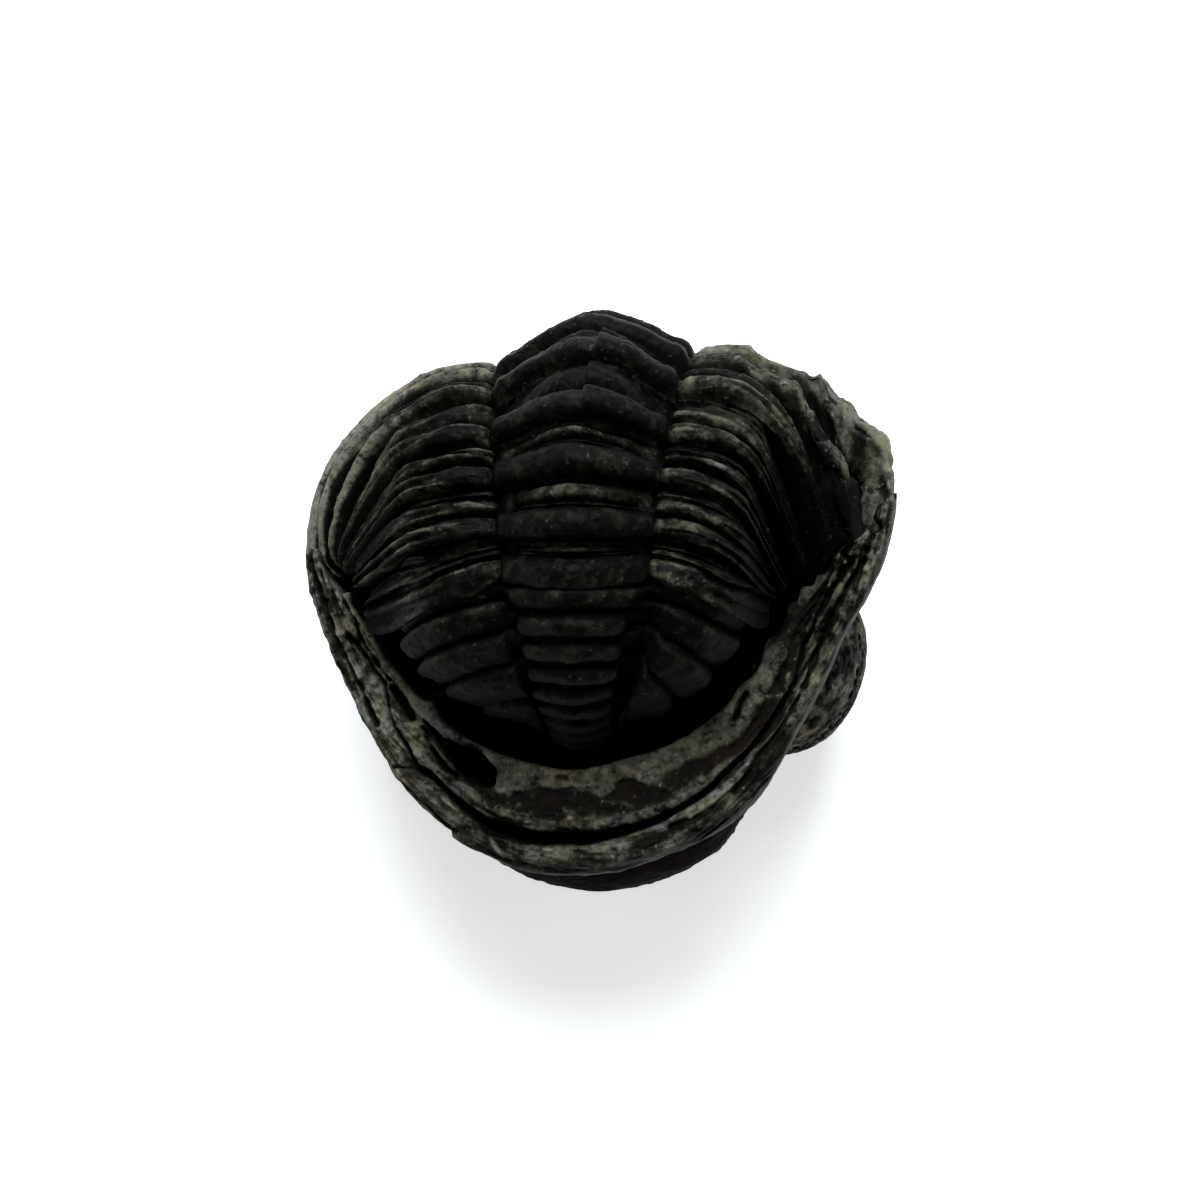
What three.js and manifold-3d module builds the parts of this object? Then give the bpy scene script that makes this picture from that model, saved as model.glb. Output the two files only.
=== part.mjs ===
// A rolled-up fossil trilobite of the phacopid kind, lying on its back as a loose stone.
// The animal and the rock inside it are one piece of stone, so the whole is one closed solid.
//
// Units are millimetres and +Z is up. The head shield lies underneath, with its dorsal side on
// the table and its rim facing up. The thorax rises at +Y and curls over to the tail shield,
// which dives back inside the rim of the head. +X is the right-hand side as seen from above.
import * as THREE from "three";
import { mergeVertices } from "three/addons/utils/BufferGeometryUtils.js";
import Module from "manifold-3d";

// ---- Driving dimensions ----------------------------------------------------------------

const SEGMENTS = 11;              // thoracic segments, as every phacopid has
const ROLL_RADIUS = 17.8;         // from the centre of the roll to the tops of the axial rings
const NECK_RISE = 0.9;            // how much higher the rings stand next to the head
const AXIS_RISE = 3.7;            // how far the axial lobe stands above its two furrows
const FRONT_AXIS_HALF = 7.4;      // half width of the axial lobe at the front of the thorax
const REAR_AXIS_HALF = 5.5;       // and at its last segment
const AXIS_SHARE = 0.3;           // share of the stations across that lie on the axial lobe
const TIP_RADIUS = 3.4;           // how close the tips of the segments come to the hinge line
const HINGE = { y: -1.6, z: 0.8 };    // the line that the tips of the segments gather round
const RING_ANGLES = [-72, -55, -37, -19, -1, 17, 33.5, 54, 69.5, 86, 99];    // degrees
const OCCIPITAL_ANGLE = -89;      // the last ring of the head, just before the first segment
const PITCH = 17;                 // degrees from one segment to the next

// Half widths of the segments by number, from the last ring of the head (0) to the rock that
// runs on behind the last segment (12). The stone is a little lopsided.
const LEFT_WIDTHS = [
  [0, 20.5], [1, 21.6], [2, 22.6], [3, 22.9], [4, 22.7], [5, 22.2], [6, 21.5],
  [7, 20.7], [8, 20], [9, 19.45], [10, 18.6], [11, 17.65], [12, 16.7],
];
const RIGHT_WIDTHS = [
  [0, 20.15], [1, 20.96], [2, 21.8], [3, 22.3], [4, 22.65], [5, 22.7], [6, 22.4],
  [7, 21.45], [8, 20.5], [9, 19.55], [10, 18.6], [11, 17.65], [12, 16.7],
];

// The side of a segment at the front of the thorax is part of a superellipse, so many degrees
// of it and with these two powers. The front left segments are squarer, most of all at one
// place along the thorax. Just outside the axis the side swells, and on the right it is
// chipped past a line.
const SIDE_SWEEP = 97;
const SIDE_POWERS = { across: 0.95, down: 0.85 };
const SQUARE_POWERS = { across: 0.78, down: 0.66 };
const SQUARE = { segment: 3.6, spread: 1.2 };
const SWELL = { left: 0.6, right: 0.15, share: 0.42, spread: 0.13 };
const CHIP = { depth: 0.55, share: 0.42, lastSegment: 6 };

// The side of a segment at the back of the thorax is a gentle slope down to a bend, then a
// steep one: the falls are shares of the height of the side, and so is that of the blunt tip.
const BEND = { share: 0.5, softness: 0.012, gentleFall: 0.12, steepFall: 0.87, tipFall: 0.06 };

// How many degrees the sides lag behind the axis, and how far the right tips are sunk.
const LAG = { both: 8, right: 19, rearRight: 8, lastLeft: 17 };
const SUNK = 3;

const HEAD_HALF = 22.9;           // half width of the head shield at its genal angles
const HEAD_BACK = 2;              // how far behind the centre of the roll the genal angles lie
const HEAD_LENGTH = 28;
const HEAD_DEPTH = 16.8;          // from the rim to the top of the cheeks
const OPENING_HALF = 20.4;        // the opening inside the rim, where the tail goes in
const OPENING_BACK = 1;
const OPENING_ASIDE = -1;         // the opening is not quite in the middle of the head
const OPENING_LENGTH = 18.6;
const RIM_TOP = 1.9;
const RIM_THICKNESS = 3.4;

// Where the worn and broken edges of the rim really run: turn round the head from its right
// genal angle (0) to its left one (1), and share of the way from the opening to the outline.
const OUTER_EDGE = [
  [0, 0.94], [0.05, 0.97], [0.1, 0.9], [0.15, 0.75], [0.18, 0.72], [0.22, 0.78], [0.27, 0.86],
  [0.3, 0.93], [0.38, 0.92], [0.43, 0.89], [0.52, 0.95], [0.63, 0.98], [0.71, 0.93],
  [0.77, 0.83], [0.8, 0.81], [0.85, 0.86], [0.92, 0.97], [0.95, 0.93], [1, 0.7],
];
const INNER_EDGE = [
  [0, 0.45], [0.08, 0.25], [0.1, 0.02], [0.14, -0.08], [0.19, -0.2], [0.25, -0.12],
  [0.3, 0], [0.5, -0.02], [0.69, -0.07], [0.84, -0.05], [0.89, 0.1], [1, 0.4],
];

// The glabella, the swollen middle of the head: where it starts and ends along Y, its half
// width at the neck and at its widest, how far forward that is, and its top and underside.
const GLABELLA = {
  back: 0.5,
  front: -27.6,
  neckHalf: 5,
  half: 12.7,
  shoulder: 0.64,
  top: -18.8,
  bottom: 0.5,
};
const EYE_CENTRE = { x: 14.1, y: -10.2, z: -10.6 };
const EYE_RADII = { x: 6.2, y: 6.6, z: 6.5 };

// The tail shield: its half width, and where its axis and its ribs start and end along Y.
const TAIL = {
  half: 14.6,
  front: -3.4,
  end: -15.9,
  frontHalf: 5.3,
  endHalf: 2.5,
  ribFront: -5.4,
  ribEnd: -14.6,
  crest: 17.1,
  axisFall: 1.6,
  endFall: 11.5,
};

// How burial bent the animal: one side of the roll sits higher, its middle is pushed aside, and
// the right side of its last segments is pressed in past a line and lags behind.
const LEAN = Math.tan(THREE.MathUtils.degToRad(4.2));
const DRIFT = -1;
const PRESSED_FROM = 12.5;
const PRESSED_TAIL = 8;

// How the stone lies: rolled a little onto its left eye, and where the centre of the roll is.
const REST_ROLL = 7;
const ROLL_CENTRE = { x: 0.055, y: 4.9, z: 18.738 };

// ---- Small helpers ---------------------------------------------------------------------

const { clamp, degToRad, lerp, smoothstep } = THREE.MathUtils;

// A power of the size of a value, with the value's own sign.
const signedPower = (value, power) => Math.sign(value) * Math.abs(value) ** power;

// 1 at the middle, fading smoothly to 0 on both sides.
const bell = (value, middle, width) => Math.exp(-(((value - middle) / width) ** 2));

// 0 well below zero and the value itself well above it, rounded in between.
const softRamp = (value, softness) => (value + Math.sqrt(value * value + softness)) / 2;

// The value at a place on a broken line through [place, value] stops.
function traced(stops, place) {
  const next = Math.max(stops.findIndex((stop) => stop[0] >= place), 1);
  const [start, end] = [stops[next - 1], stops[next]];
  return lerp(start[1], end[1], clamp((place - start[0]) / (end[0] - start[0]), 0, 1));
}

// A closed skin over loops of points. point(along, around) gives each point, both from 0 to 1;
// the loops close on themselves and each end is closed by a fan to the middle of its loop.
function skin(stations, sides, point) {
  const vertices = [];
  for (let i = 0; i <= stations; i += 1) {
    for (let j = 0; j < sides; j += 1) {
      vertices.push(settled(point(i / stations, j / sides)));
    }
  }
  const triangles = [];
  for (let i = 0; i < stations; i += 1) {
    for (let j = 0; j < sides; j += 1) {
      const a = i * sides + j;
      const b = i * sides + ((j + 1) % sides);
      triangles.push(a, b, b + sides, a, b + sides, a + sides);
    }
  }
  for (const start of [0, stations * sides]) {
    const middle = new THREE.Vector3();
    for (let j = 0; j < sides; j += 1) {
      middle.addScaledVector(vertices[start + j], 1 / sides);
    }
    vertices.push(middle);
    for (let j = 0; j < sides; j += 1) {
      const a = start + j;
      const b = start + ((j + 1) % sides);
      triangles.push(...(start === 0 ? [b, a] : [a, b]), vertices.length - 1);
    }
  }
  return closedGeometry(vertices, triangles);
}

// An indexed geometry whose faces point outwards.
function closedGeometry(vertices, triangles) {
  let volume = 0;
  const cross = new THREE.Vector3();
  for (let k = 0; k < triangles.length; k += 3) {
    const [a, b, c] = triangles.slice(k, k + 3).map((index) => vertices[index]);
    volume += a.dot(cross.crossVectors(b, c));
  }
  const outward = volume > 0 ? triangles : triangles.slice().reverse();
  const geometry = new THREE.BufferGeometry();
  const flat = vertices.flatMap((vertex) => vertex.toArray());
  geometry.setAttribute("position", new THREE.Float32BufferAttribute(flat, 3));
  geometry.setIndex(outward);
  return mergeVertices(geometry, 1e-4);
}

// Turns a point of the straight, level animal into the bent one as it lies on the table.
function settled(point) {
  const nearTail = 1 - smoothstep(point.z, 4, 14);
  const nearHinge = smoothstep(point.y, -20, -5);
  const aside = DRIFT * (1 - smoothstep(point.y, -20, -4));
  const bent = new THREE.Vector3(
    point.x + aside,
    point.y + LEAN * point.x * nearTail * nearHinge,
    point.z,
  );
  bent.applyAxisAngle(new THREE.Vector3(0, 1, 0), degToRad(-REST_ROLL));
  return bent.add(new THREE.Vector3(ROLL_CENTRE.x, ROLL_CENTRE.y, ROLL_CENTRE.z));
}

// ---- Thorax ----------------------------------------------------------------------------

function axisHalfWidth(number) {
  return lerp(FRONT_AXIS_HALF, REAR_AXIS_HALF, clamp((number - 6) / 5, 0, 1));
}

// The hoop of one segment, seen along the roll: across runs from -1 at the left tip to 1 at the
// right one. The axial lobe is an arch. Each side is a quarter of an ellipse at the front of
// the thorax, and a gentle slope that breaks into a steep one at its back.
function hoop(number, across) {
  const side = Math.sign(across);
  const s = Math.abs(across);
  const isRight = smoothstep(across, -0.05, 0.05);
  const half = axisHalfWidth(number);
  const top = ROLL_RADIUS + NECK_RISE * clamp(1 - number / 3, 0, 1);
  const shoulder = ROLL_RADIUS - AXIS_RISE;
  if (s <= AXIS_SHARE) {
    const inside = s / AXIS_SHARE;
    return { x: side * inside * half, r: top - (top - shoulder) * inside ** 1.6, far: 0 };
  }
  const outside = (s - AXIS_SHARE) / (1 - AXIS_SHARE);
  const turn = outside * degToRad(SIDE_SWEEP);
  const steep = softRamp((outside - BEND.share) / (1 - BEND.share), BEND.softness);
  const fall = BEND.gentleFall * outside + BEND.steepFall * steep;
  const straight = 1 - fall - BEND.tipFall * smoothstep(outside, 0.93, 1);
  const square = (1 - isRight) * bell(number, SQUARE.segment, SQUARE.spread);
  const acrossPower = lerp(SIDE_POWERS.across, SQUARE_POWERS.across, square);
  const downPower = lerp(SIDE_POWERS.down, SQUARE_POWERS.down, square);
  const pulled = smoothstep(number, 5.5, 9);
  const far = lerp(Math.sin(turn) ** acrossPower, outside, pulled);
  const high = lerp(signedPower(Math.cos(turn), downPower), straight, pulled);
  const tip = TIP_RADIUS + smoothstep(number, 9.5, 11) * lerp(1.6, 3, isRight);
  const swell = lerp(SWELL.left, SWELL.right, isRight) * bell(s, SWELL.share, SWELL.spread);
  const isChipped = across > CHIP.share && number <= CHIP.lastSegment;
  const width = lerp(traced(LEFT_WIDTHS, number), traced(RIGHT_WIDTHS, number), isRight);
  const x = half + (width - half) * far;
  const pressed = smoothstep(number, 5, 6) * lerp(0.28, 0.72, smoothstep(number, 6, 10));
  return {
    x: side * (x - isRight * pressed * softRamp(x - PRESSED_FROM, 1)),
    r: tip + (shoulder - tip) * high + swell - (isChipped ? CHIP.depth : 0),
    far,
  };
}

// A point over the hoop of a segment: angle is in degrees round the roll, and lift is along the
// radius. The sides lag behind the axis, towards the tail, and the right side lags most.
function onHoop(number, angle, across, lift) {
  const { x, r, far } = hoop(number, across);
  const out = far ** 3;
  const rearRight = LAG.rearRight * smoothstep(number, 8, 11);
  const rightLag = (LAG.right * smoothstep(number, 5, 8) + rearRight) * far ** 1.9;
  const leftLag = LAG.lastLeft * smoothstep(number, 9.8, 11) * far ** 1.4;
  const bothLag = LAG.both * smoothstep(number, 6, 11) * out;
  const theta = degToRad(angle + bothLag + (across > 0 ? rightLag : leftLag));
  const radius = Math.max(r + lift * (1 - 0.45 * out), 0.4);
  const sinks = across > 0 ? smoothstep(number, 4, 7) * (1 - smoothstep(number, 9, 11)) : 0;
  return new THREE.Vector3(
    x + Math.sign(x) * lift * 0.5 * out,
    (HINGE.y - SUNK * sinks) * out + radius * Math.cos(theta),
    HINGE.z * out + radius * Math.sin(theta),
  );
}

// The outline of a segment cut along the animal: turn in parts of the pitch, lift in mm. The
// thin front part slides under the segment before, and the thick ring stands above it.
const SEGMENT_OUTLINE = [
  [-0.7, -2.2], [-0.58, -0.95], [-0.36, -1.05], [-0.28, -0.25],
  [0.0, 0.0], [0.28, -0.25], [0.32, -1.7], [-0.2, -2.8],
];

const HOOP_STATIONS = 20;

function segment(number, angle) {
  return skin(HOOP_STATIONS, SEGMENT_OUTLINE.length, (along, around) => {
    const [turn, lift] = SEGMENT_OUTLINE[Math.round(around * SEGMENT_OUTLINE.length)];
    const across = along * 2 - 1;
    const isLastRear = number === SEGMENTS && turn > 0;
    const wider = isLastRear ? 1 + 0.7 * smoothstep(Math.abs(across), 0.3, 0.42) : 1;
    return onHoop(number, angle + turn * wider * PITCH, across, lift);
  });
}

// The rock inside the roll: a wedge of the roll just under the segments.
function rollFilling() {
  const hoopPoints = HOOP_STATIONS + 1;
  const depth = -1.3;
  return skin(SEGMENTS + 1, hoopPoints + 1, (along, around) => {
    const number = lerp(0, SEGMENTS + 1, along);
    const angle = lerp(OCCIPITAL_ANGLE - 4, 112, along);
    const index = Math.round(around * (hoopPoints + 1));
    if (index === hoopPoints) {
      return new THREE.Vector3(0, HINGE.y, HINGE.z);
    }
    return onHoop(number, angle, (index / HOOP_STATIONS) * 2 - 1, depth);
  });
}

// ---- Head shield -----------------------------------------------------------------------

// A rounded U from the right genal angle (turn 0) by the front to the left one (turn 1).
function roundedU(halfWidth, back, length, flare, nose, turn) {
  const phi = turn * Math.PI;
  const c = Math.cos(phi);
  return {
    x: Math.sign(c) * halfWidth * Math.abs(c) ** (2 / flare),
    y: back - length * Math.sin(phi) ** (2 / nose),
  };
}

// The place on the rim at a turn and a share of the way from the opening to the outline.
function rimPlace(turn, share) {
  const outer = roundedU(HEAD_HALF, HEAD_BACK, HEAD_LENGTH, 2.2, 1.5, turn);
  const inner = roundedU(OPENING_HALF, OPENING_BACK, OPENING_LENGTH, 2, 1.2, turn);
  const innerX = inner.x + OPENING_ASIDE * Math.sin(turn * Math.PI);
  return { x: lerp(innerX, outer.x, share), y: lerp(inner.y, outer.y, share) };
}

const outerEdge = (turn) => rimPlace(turn, traced(OUTER_EDGE, turn));

const innerEdge = (turn) => rimPlace(turn, traced(INNER_EDGE, turn));

// The rim: the border of the head and the doublure folded in from it, with the furrow that
// the tail of a living animal would lock into. across is 0 at the opening, 1 at the border.
const FURROW_DEPTH = -1.5;
const RIM_OUTLINE = [
  [0.0, -0.9], [0.12, -0.1], [0.34, 0.15], [0.54, 0.0], [0.65, FURROW_DEPTH],
  [0.78, 0.0], [0.95, -0.3], [1.0, -1.6], [0.8, -RIM_THICKNESS], [-0.02, -RIM_THICKNESS],
];

function rim() {
  return skin(36, RIM_OUTLINE.length, (along, around) => {
    const [across, height] = RIM_OUTLINE[Math.round(around * RIM_OUTLINE.length)];
    const isFurrow = height === FURROW_DEPTH;
    const lift = isFurrow ? height * smoothstep(Math.sin(along * Math.PI), 0.2, 0.6) : height;
    const inner = innerEdge(along);
    const outer = outerEdge(along);
    return new THREE.Vector3(
      lerp(inner.x, outer.x, across),
      lerp(inner.y, outer.y, across),
      RIM_TOP + lift,
    );
  });
}

// The rock between the tail and the rim, which leaves only a shallow groove round the tail.
function grooveFilling() {
  const top = 1.6;
  const bottom = -2;
  const overlap = 1.07;
  return skin(1, 24, (along, around) => {
    const turn = around * 2;
    const edge = innerEdge(turn <= 1 ? turn : 2 - turn);
    return new THREE.Vector3(
      edge.x * overlap,
      turn <= 1 ? edge.y * overlap : HEAD_BACK,
      lerp(bottom, top, along),
    );
  });
}

// The cheeks: a dome under the rim, steep at the border and flat on top, cut off at the back.
function cheeks() {
  const backLimit = 1.2;
  const middle = -9;
  return skin(8, 28, (along, around) => {
    const rise = along * Math.PI / 2 * 0.97;
    const shrink = Math.cos(rise) ** 0.62;
    const turn = around * 2;
    const edge = turn <= 1 ? outerEdge(turn) : outerEdge(2 - turn);
    const back = lerp(HEAD_BACK, backLimit, Math.sin((turn - 1) * Math.PI));
    const y = turn <= 1 ? edge.y : back;
    return new THREE.Vector3(
      edge.x * 0.99 * shrink,
      Math.min(middle + (y - middle) * (turn <= 1 ? shrink : 1), backLimit),
      0.2 - HEAD_DEPTH * Math.sin(rise) ** 1.05,
    );
  });
}

// The glabella: the swollen middle of the head, narrow at the back, wide and round in front.
function glabella() {
  const { back, front, neckHalf, half, shoulder, top, bottom } = GLABELLA;
  return skin(12, 16, (along, around) => {
    const run = (1 - Math.cos(along * Math.PI)) / 2;
    const forward = clamp((run - shoulder) / (1 - shoulder), 0, 1);
    const backward = clamp(1 - run / 0.12, 0, 1);
    const round = Math.sqrt(Math.max(1 - forward ** 2 - backward ** 2, 0));
    const wide = lerp(neckHalf, half, Math.min(run / shoulder, 1)) * round;
    const deep = (bottom - top) / 2 * Math.max(1 - (2 * run - 1) ** 2, 0) ** 0.31;
    const phi = around * 2 * Math.PI;
    const c = Math.cos(phi);
    const s = Math.sin(phi);
    return new THREE.Vector3(
      Math.sign(c) * Math.abs(c) ** 0.85 * wide,
      lerp(back, front, run),
      (top + bottom) / 2 + Math.sign(s) * Math.abs(s) ** 0.85 * deep,
    );
  });
}

// An eye: a squat barrel whose side carries the lenses and whose flat end is the lid.
function eye(side) {
  return skin(6, 14, (along, around) => {
    const tilt = (along - 0.5) * Math.PI;
    const phi = around * 2 * Math.PI;
    const girth = Math.cos(tilt) ** 0.55;
    return new THREE.Vector3(
      side * (EYE_CENTRE.x + EYE_RADII.x * girth * Math.cos(phi)),
      EYE_CENTRE.y + EYE_RADII.y * girth * Math.sin(phi),
      EYE_CENTRE.z - EYE_RADII.z * Math.sin(tilt),
    );
  });
}

// ---- Tail shield -----------------------------------------------------------------------

// The top of the tail shield: along runs from its front to its end, across from left to right.
// Lines of equal along are its ribs, which curve back and fall to their blunt ends.
function tailTop(along, across) {
  const side = Math.sign(across);
  const s = Math.abs(across);
  const half = lerp(TAIL.frontHalf, TAIL.endHalf, along);
  const axisY = lerp(TAIL.front, TAIL.end, along);
  const crest = TAIL.crest - TAIL.axisFall * along - TAIL.endFall * along ** 2.6;
  const furrow = crest - lerp(3.4, 1.8, along);
  const lag = 0.7 * along;
  if (s <= AXIS_SHARE) {
    const inside = s / AXIS_SHARE;
    const z = crest - (crest - furrow) * inside ** 1.8;
    return new THREE.Vector3(side * inside * half, axisY + lag * inside ** 2, z);
  }
  const quarter = along * Math.PI / 2;
  const marginX = Math.max(TAIL.half * Math.max(Math.cos(quarter), 0) ** 1.25, half + 0.3);
  const marginY = lerp(TAIL.ribFront, TAIL.ribEnd, Math.sin(quarter));
  const turn = ((s - AXIS_SHARE) / (1 - AXIS_SHARE)) * Math.PI / 2;
  const x = lerp(half, marginX, Math.sin(turn) ** 0.9);
  return new THREE.Vector3(
    side * (x - (side > 0 ? 0.3 * softRamp(x - PRESSED_TAIL, 1) : 0)),
    lerp(axisY + lag, marginY, Math.sin(turn) ** 1.15),
    lerp(lerp(4.5, 1, along), furrow, Math.max(Math.cos(turn), 0) ** 0.8),
  );
}

function tailShield() {
  const across = 12;
  const under = 3;
  const ribs = 7;
  const floor = -3;
  return skin(2 * ribs, across + under, (along, around) => {
    const index = Math.round(around * (across + under));
    const isFurrow = Math.round(along * 2 * ribs) % 2 === 1;
    const forward = index <= across;
    const position = forward ? index / across : 1 - (index - across) / under;
    const top = tailTop(along, position * 2 - 1);
    const groove = isFurrow ? -0.5 * (1 - along) : 0;
    return new THREE.Vector3(top.x, top.y, forward ? top.z + groove : floor);
  });
}

// ---- The stone -------------------------------------------------------------------------

const wasm = await Module();
wasm.setup();

function toSolid(geometry) {
  const vertProperties = new Float32Array(geometry.getAttribute("position").array);
  const triVerts = new Uint32Array(geometry.getIndex().array);
  return new wasm.Manifold(new wasm.Mesh({ numProp: 3, vertProperties, triVerts }));
}

function fromSolid(solid) {
  const { vertProperties, triVerts } = solid.getMesh();
  const geometry = new THREE.BufferGeometry();
  geometry.setAttribute("position", new THREE.BufferAttribute(vertProperties, 3));
  geometry.setIndex(new THREE.BufferAttribute(triVerts, 1));
  return geometry;
}

const pieces = [rollFilling(), grooveFilling(), cheeks(), glabella(), eye(-1), eye(1)];
pieces.push(rim(), tailShield());
pieces.push(segment(0, OCCIPITAL_ANGLE));
RING_ANGLES.slice(0, SEGMENTS).forEach((angle, index) => {
  pieces.push(segment(index + 1, angle));
});
const stone = pieces.map(toSolid).reduce((whole, piece) => whole.add(piece));

const material = new THREE.MeshStandardMaterial({
  color: 0x2b2a27,
  roughness: 0.55,
  metalness: 0,
});
const trilobite = new THREE.Mesh(fromSolid(stone), material);
trilobite.name = "trilobite";

const part = new THREE.Group();
part.add(trilobite);

export default part;
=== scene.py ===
import math
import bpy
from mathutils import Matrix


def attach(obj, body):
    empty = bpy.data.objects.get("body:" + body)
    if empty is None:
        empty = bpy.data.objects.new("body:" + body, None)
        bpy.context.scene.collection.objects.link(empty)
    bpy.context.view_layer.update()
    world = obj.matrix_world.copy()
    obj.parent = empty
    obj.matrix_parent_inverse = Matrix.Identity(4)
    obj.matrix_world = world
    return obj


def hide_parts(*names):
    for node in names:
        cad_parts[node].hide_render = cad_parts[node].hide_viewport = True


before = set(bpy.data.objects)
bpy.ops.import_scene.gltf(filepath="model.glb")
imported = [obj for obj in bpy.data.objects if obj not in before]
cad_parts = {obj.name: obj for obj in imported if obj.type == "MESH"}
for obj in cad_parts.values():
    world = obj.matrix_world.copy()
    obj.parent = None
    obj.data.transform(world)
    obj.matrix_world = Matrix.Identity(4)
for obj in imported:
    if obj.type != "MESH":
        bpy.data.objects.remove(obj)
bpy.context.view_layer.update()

from types import SimpleNamespace

import bpy
import numpy as np
from bpy.props import FloatProperty, FloatVectorProperty, PointerProperty
from bpy.types import Operator, Panel, PropertyGroup
from mathutils import Vector

bl_info = {
    "name": "Rolled trilobite",
    "version": (1, 0, 0),
    "blender": (4, 5, 0),
    "location": "View3D > Sidebar > Trilobite",
    "description": "Builds a rolled-up fossil trilobite lying on its back, and a plain stage",
    "category": "Add Mesh",
}

BODY = "root"
NODE = "trilobite"
MM = 0.001

# Directions of the ring crests round the roll, in degrees from +Y towards the tail.
RING_ANGLES = (-72.0, -55.0, -37.0, -19.0, -1.0, 17.0, 33.5, 54.0, 69.5, 86.0, 99.0)
OCCIPITAL_ANGLE = -89.0
# The plain step from ring to ring, in degrees. Turns along a segment count in this pitch.
PITCH = 17.0
# How much wider each side is than the half width, in millimetres, from the ring behind the
# head to the last segment.
LEFT_WIDTHS = (-1.9, -0.8, 0.2, 0.5, 0.3, -0.2, -0.9, -1.7, -2.4, -2.95, -3.8, -4.75)
RIGHT_WIDTHS = (-2.25, -1.44, -0.6, -0.1, 0.25, 0.3, 0.0, -0.95, -1.9, -2.85, -3.9, -5.4)
# Chips in the right side: places across, from 0 to 1, and depths in millimetres.
CHIPS = (
    (0.41, 0), (0.425, 0.5), (0.494, 0.8), (0.56, 0.35), (0.579, 0.05), (0.6, 0.5), (0.619, 1),
    (0.66, 0.65), (0.677, 0.95), (0.73, 0.5), (0.779, 0), (0.829, -0.7), (0.86, -0.3),
    (0.888, 0.1), (0.93, 0.4), (1, 0.2),
)
# The fine ridges along a segment's sides, in radians for each pitch.
COMB = 29.0
# The axial furrow, as a share of the way from the middle to the tip of a segment.
AXIS_SHARE = 0.3
# The line that the tips of the segments fold round, from the centre of the roll.
HINGE_Y = -1.6
HINGE_Z = 0.8

# How burial bent the animal, by a shear and by a shift in millimetres, and how the stone lies
# on the table: its turn about Y, and the place of the roll's centre in millimetres.
LEAN = math.tan(math.radians(4.2))
DRIFT = -1.0
REST_ROLL = math.radians(-7.0)
ROLL_CENTRE = (0.055, 4.9, 18.738)

# Each stone: how much rougher it is than the finish, its gleam, and the tone of its stains.
# On stone_shell the stain tone is painted shade: the deep colour laid where the segments lie in
# shadow.
STONES = {
    "stone_shell": (0.0, 0.045, "deep"),
    "stone_deep": (0.1, 0.04, "stain"),
    "stone_worn": (0.05, 0.05, "stain"),
    "stone_front": (0.2, 0.02, "stain"),
    "stone_rock": (0.15, 0.10, "stain"),
}

# Each light: its place in metres, size, power setting and colour.
LIGHTS = {
    "key_light": ((0.0, 0.44, 0.46), 0.40, "key_power", (0.86, 0.95, 1.0)),
    "left_light": ((-0.5, 0.05, 0.35), 0.3, "fill_power", (1.0, 1.0, 1.0)),
    "right_light": ((0.5, 0.1, 0.35), 0.3, "fill_power", (1.0, 1.0, 1.0)),
}
# In metres: the point that the lights face, half the width of the floor, and where over the
# stone the camera stands. The sensor's width is in millimetres.
LIGHT_AIM = (0.0, 0.0, 0.015)
FLOOR_HALF = 3.0
CAMERA_PLACE = (0.205 * MM, 0.4 * MM)
SENSOR_WIDTH = 36.0


# ---- Sizes and finishes a user would change ----

def length(name, description, default):
    """A size in metres, given in millimetres in the call for easy reading."""
    return FloatProperty(name=name, description=description, default=default * MM, min=0.0,
                         unit="LENGTH", precision=5)


def level(name, description, default, lowest=0.0, **kind):
    """A number that stays above its lowest value."""
    return FloatProperty(name=name, description=description, default=default, min=lowest, **kind)


def tint(name, description, default):
    """A linear colour without alpha."""
    return FloatVectorProperty(name=name, description=description, default=default, size=3,
                               subtype="COLOR", min=0.0, max=1.0)


class TrilobiteThorax(PropertyGroup):
    """Sizes of the eleven thoracic segments"""

    ring_radius: length("Ring radius", "From the centre of the roll to the ring tops", 17.8)
    neck_rise: length("Neck rise", "How much higher the rings stand beside the head", 0.9)
    axis_rise: length("Axis rise", "How far the axial lobe stands above its furrows", 3.7)
    front_axis: length("Front axis", "Half width of the axial lobe at the front", 7.4)
    rear_axis: length("Rear axis", "Half width of the axial lobe at the last segment", 5.5)
    half_width: length("Half width", "Half width of the widest segment", 22.4)
    tip_radius: length("Tip radius", "How close the tips come to the hinge line", 3.4)
    furrow_depth: length("Furrow depth", "Depth of the furrow between two ribs", 1.25)
    thickness: length("Thickness", "Thickness of a segment in the rock", 4.6)


class TrilobiteHead(PropertyGroup):
    """Sizes of the head shield, its rim and its eyes"""

    half_width: length("Half width", "Half width at the genal angles", 22.9)
    back: length("Back", "How far behind the roll centre the genal angles lie", 2.0)
    long: length("Length", "From the genal angles to the front", 28.0)
    depth: length("Depth", "From the rim to the tops of the cheeks", 16.8)
    opening_half: length("Opening half width", "Half width of the opening inside the rim", 20.4)
    opening_long: length("Opening length", "How far forward the opening runs", 18.6)
    rim_top: length("Rim top", "Height of the rim above the roll centre", 1.9)
    rim_thickness: length("Rim thickness", "Thickness of the folded rim", 5.6)
    glabella_half: length("Glabella half width", "Half of the widest part of the glabella", 12.7)
    glabella_neck: length("Glabella neck", "Half width of the glabella at its back", 5.0)
    eye_width: length("Eye width", "Half width of an eye across the head", 6.2)
    eye_long: length("Eye length", "Half length of an eye along the head", 6.6)
    eye_high: length("Eye height", "Half height of an eye", 6.5)
    lens_pitch: length("Lens pitch", "From one lens of an eye to the next", 0.85)


class TrilobiteTail(PropertyGroup):
    """Sizes of the tail shield"""

    half_width: length("Half width", "Half width at the front of the tail shield", 14.6)
    front: length("Front", "How far forward the tail shield starts", 3.4)
    end: length("End", "How far forward the tail shield reaches", 17.3)
    rib_height: length("Rib height", "Height of the first rib above its furrow", 0.75)


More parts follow.
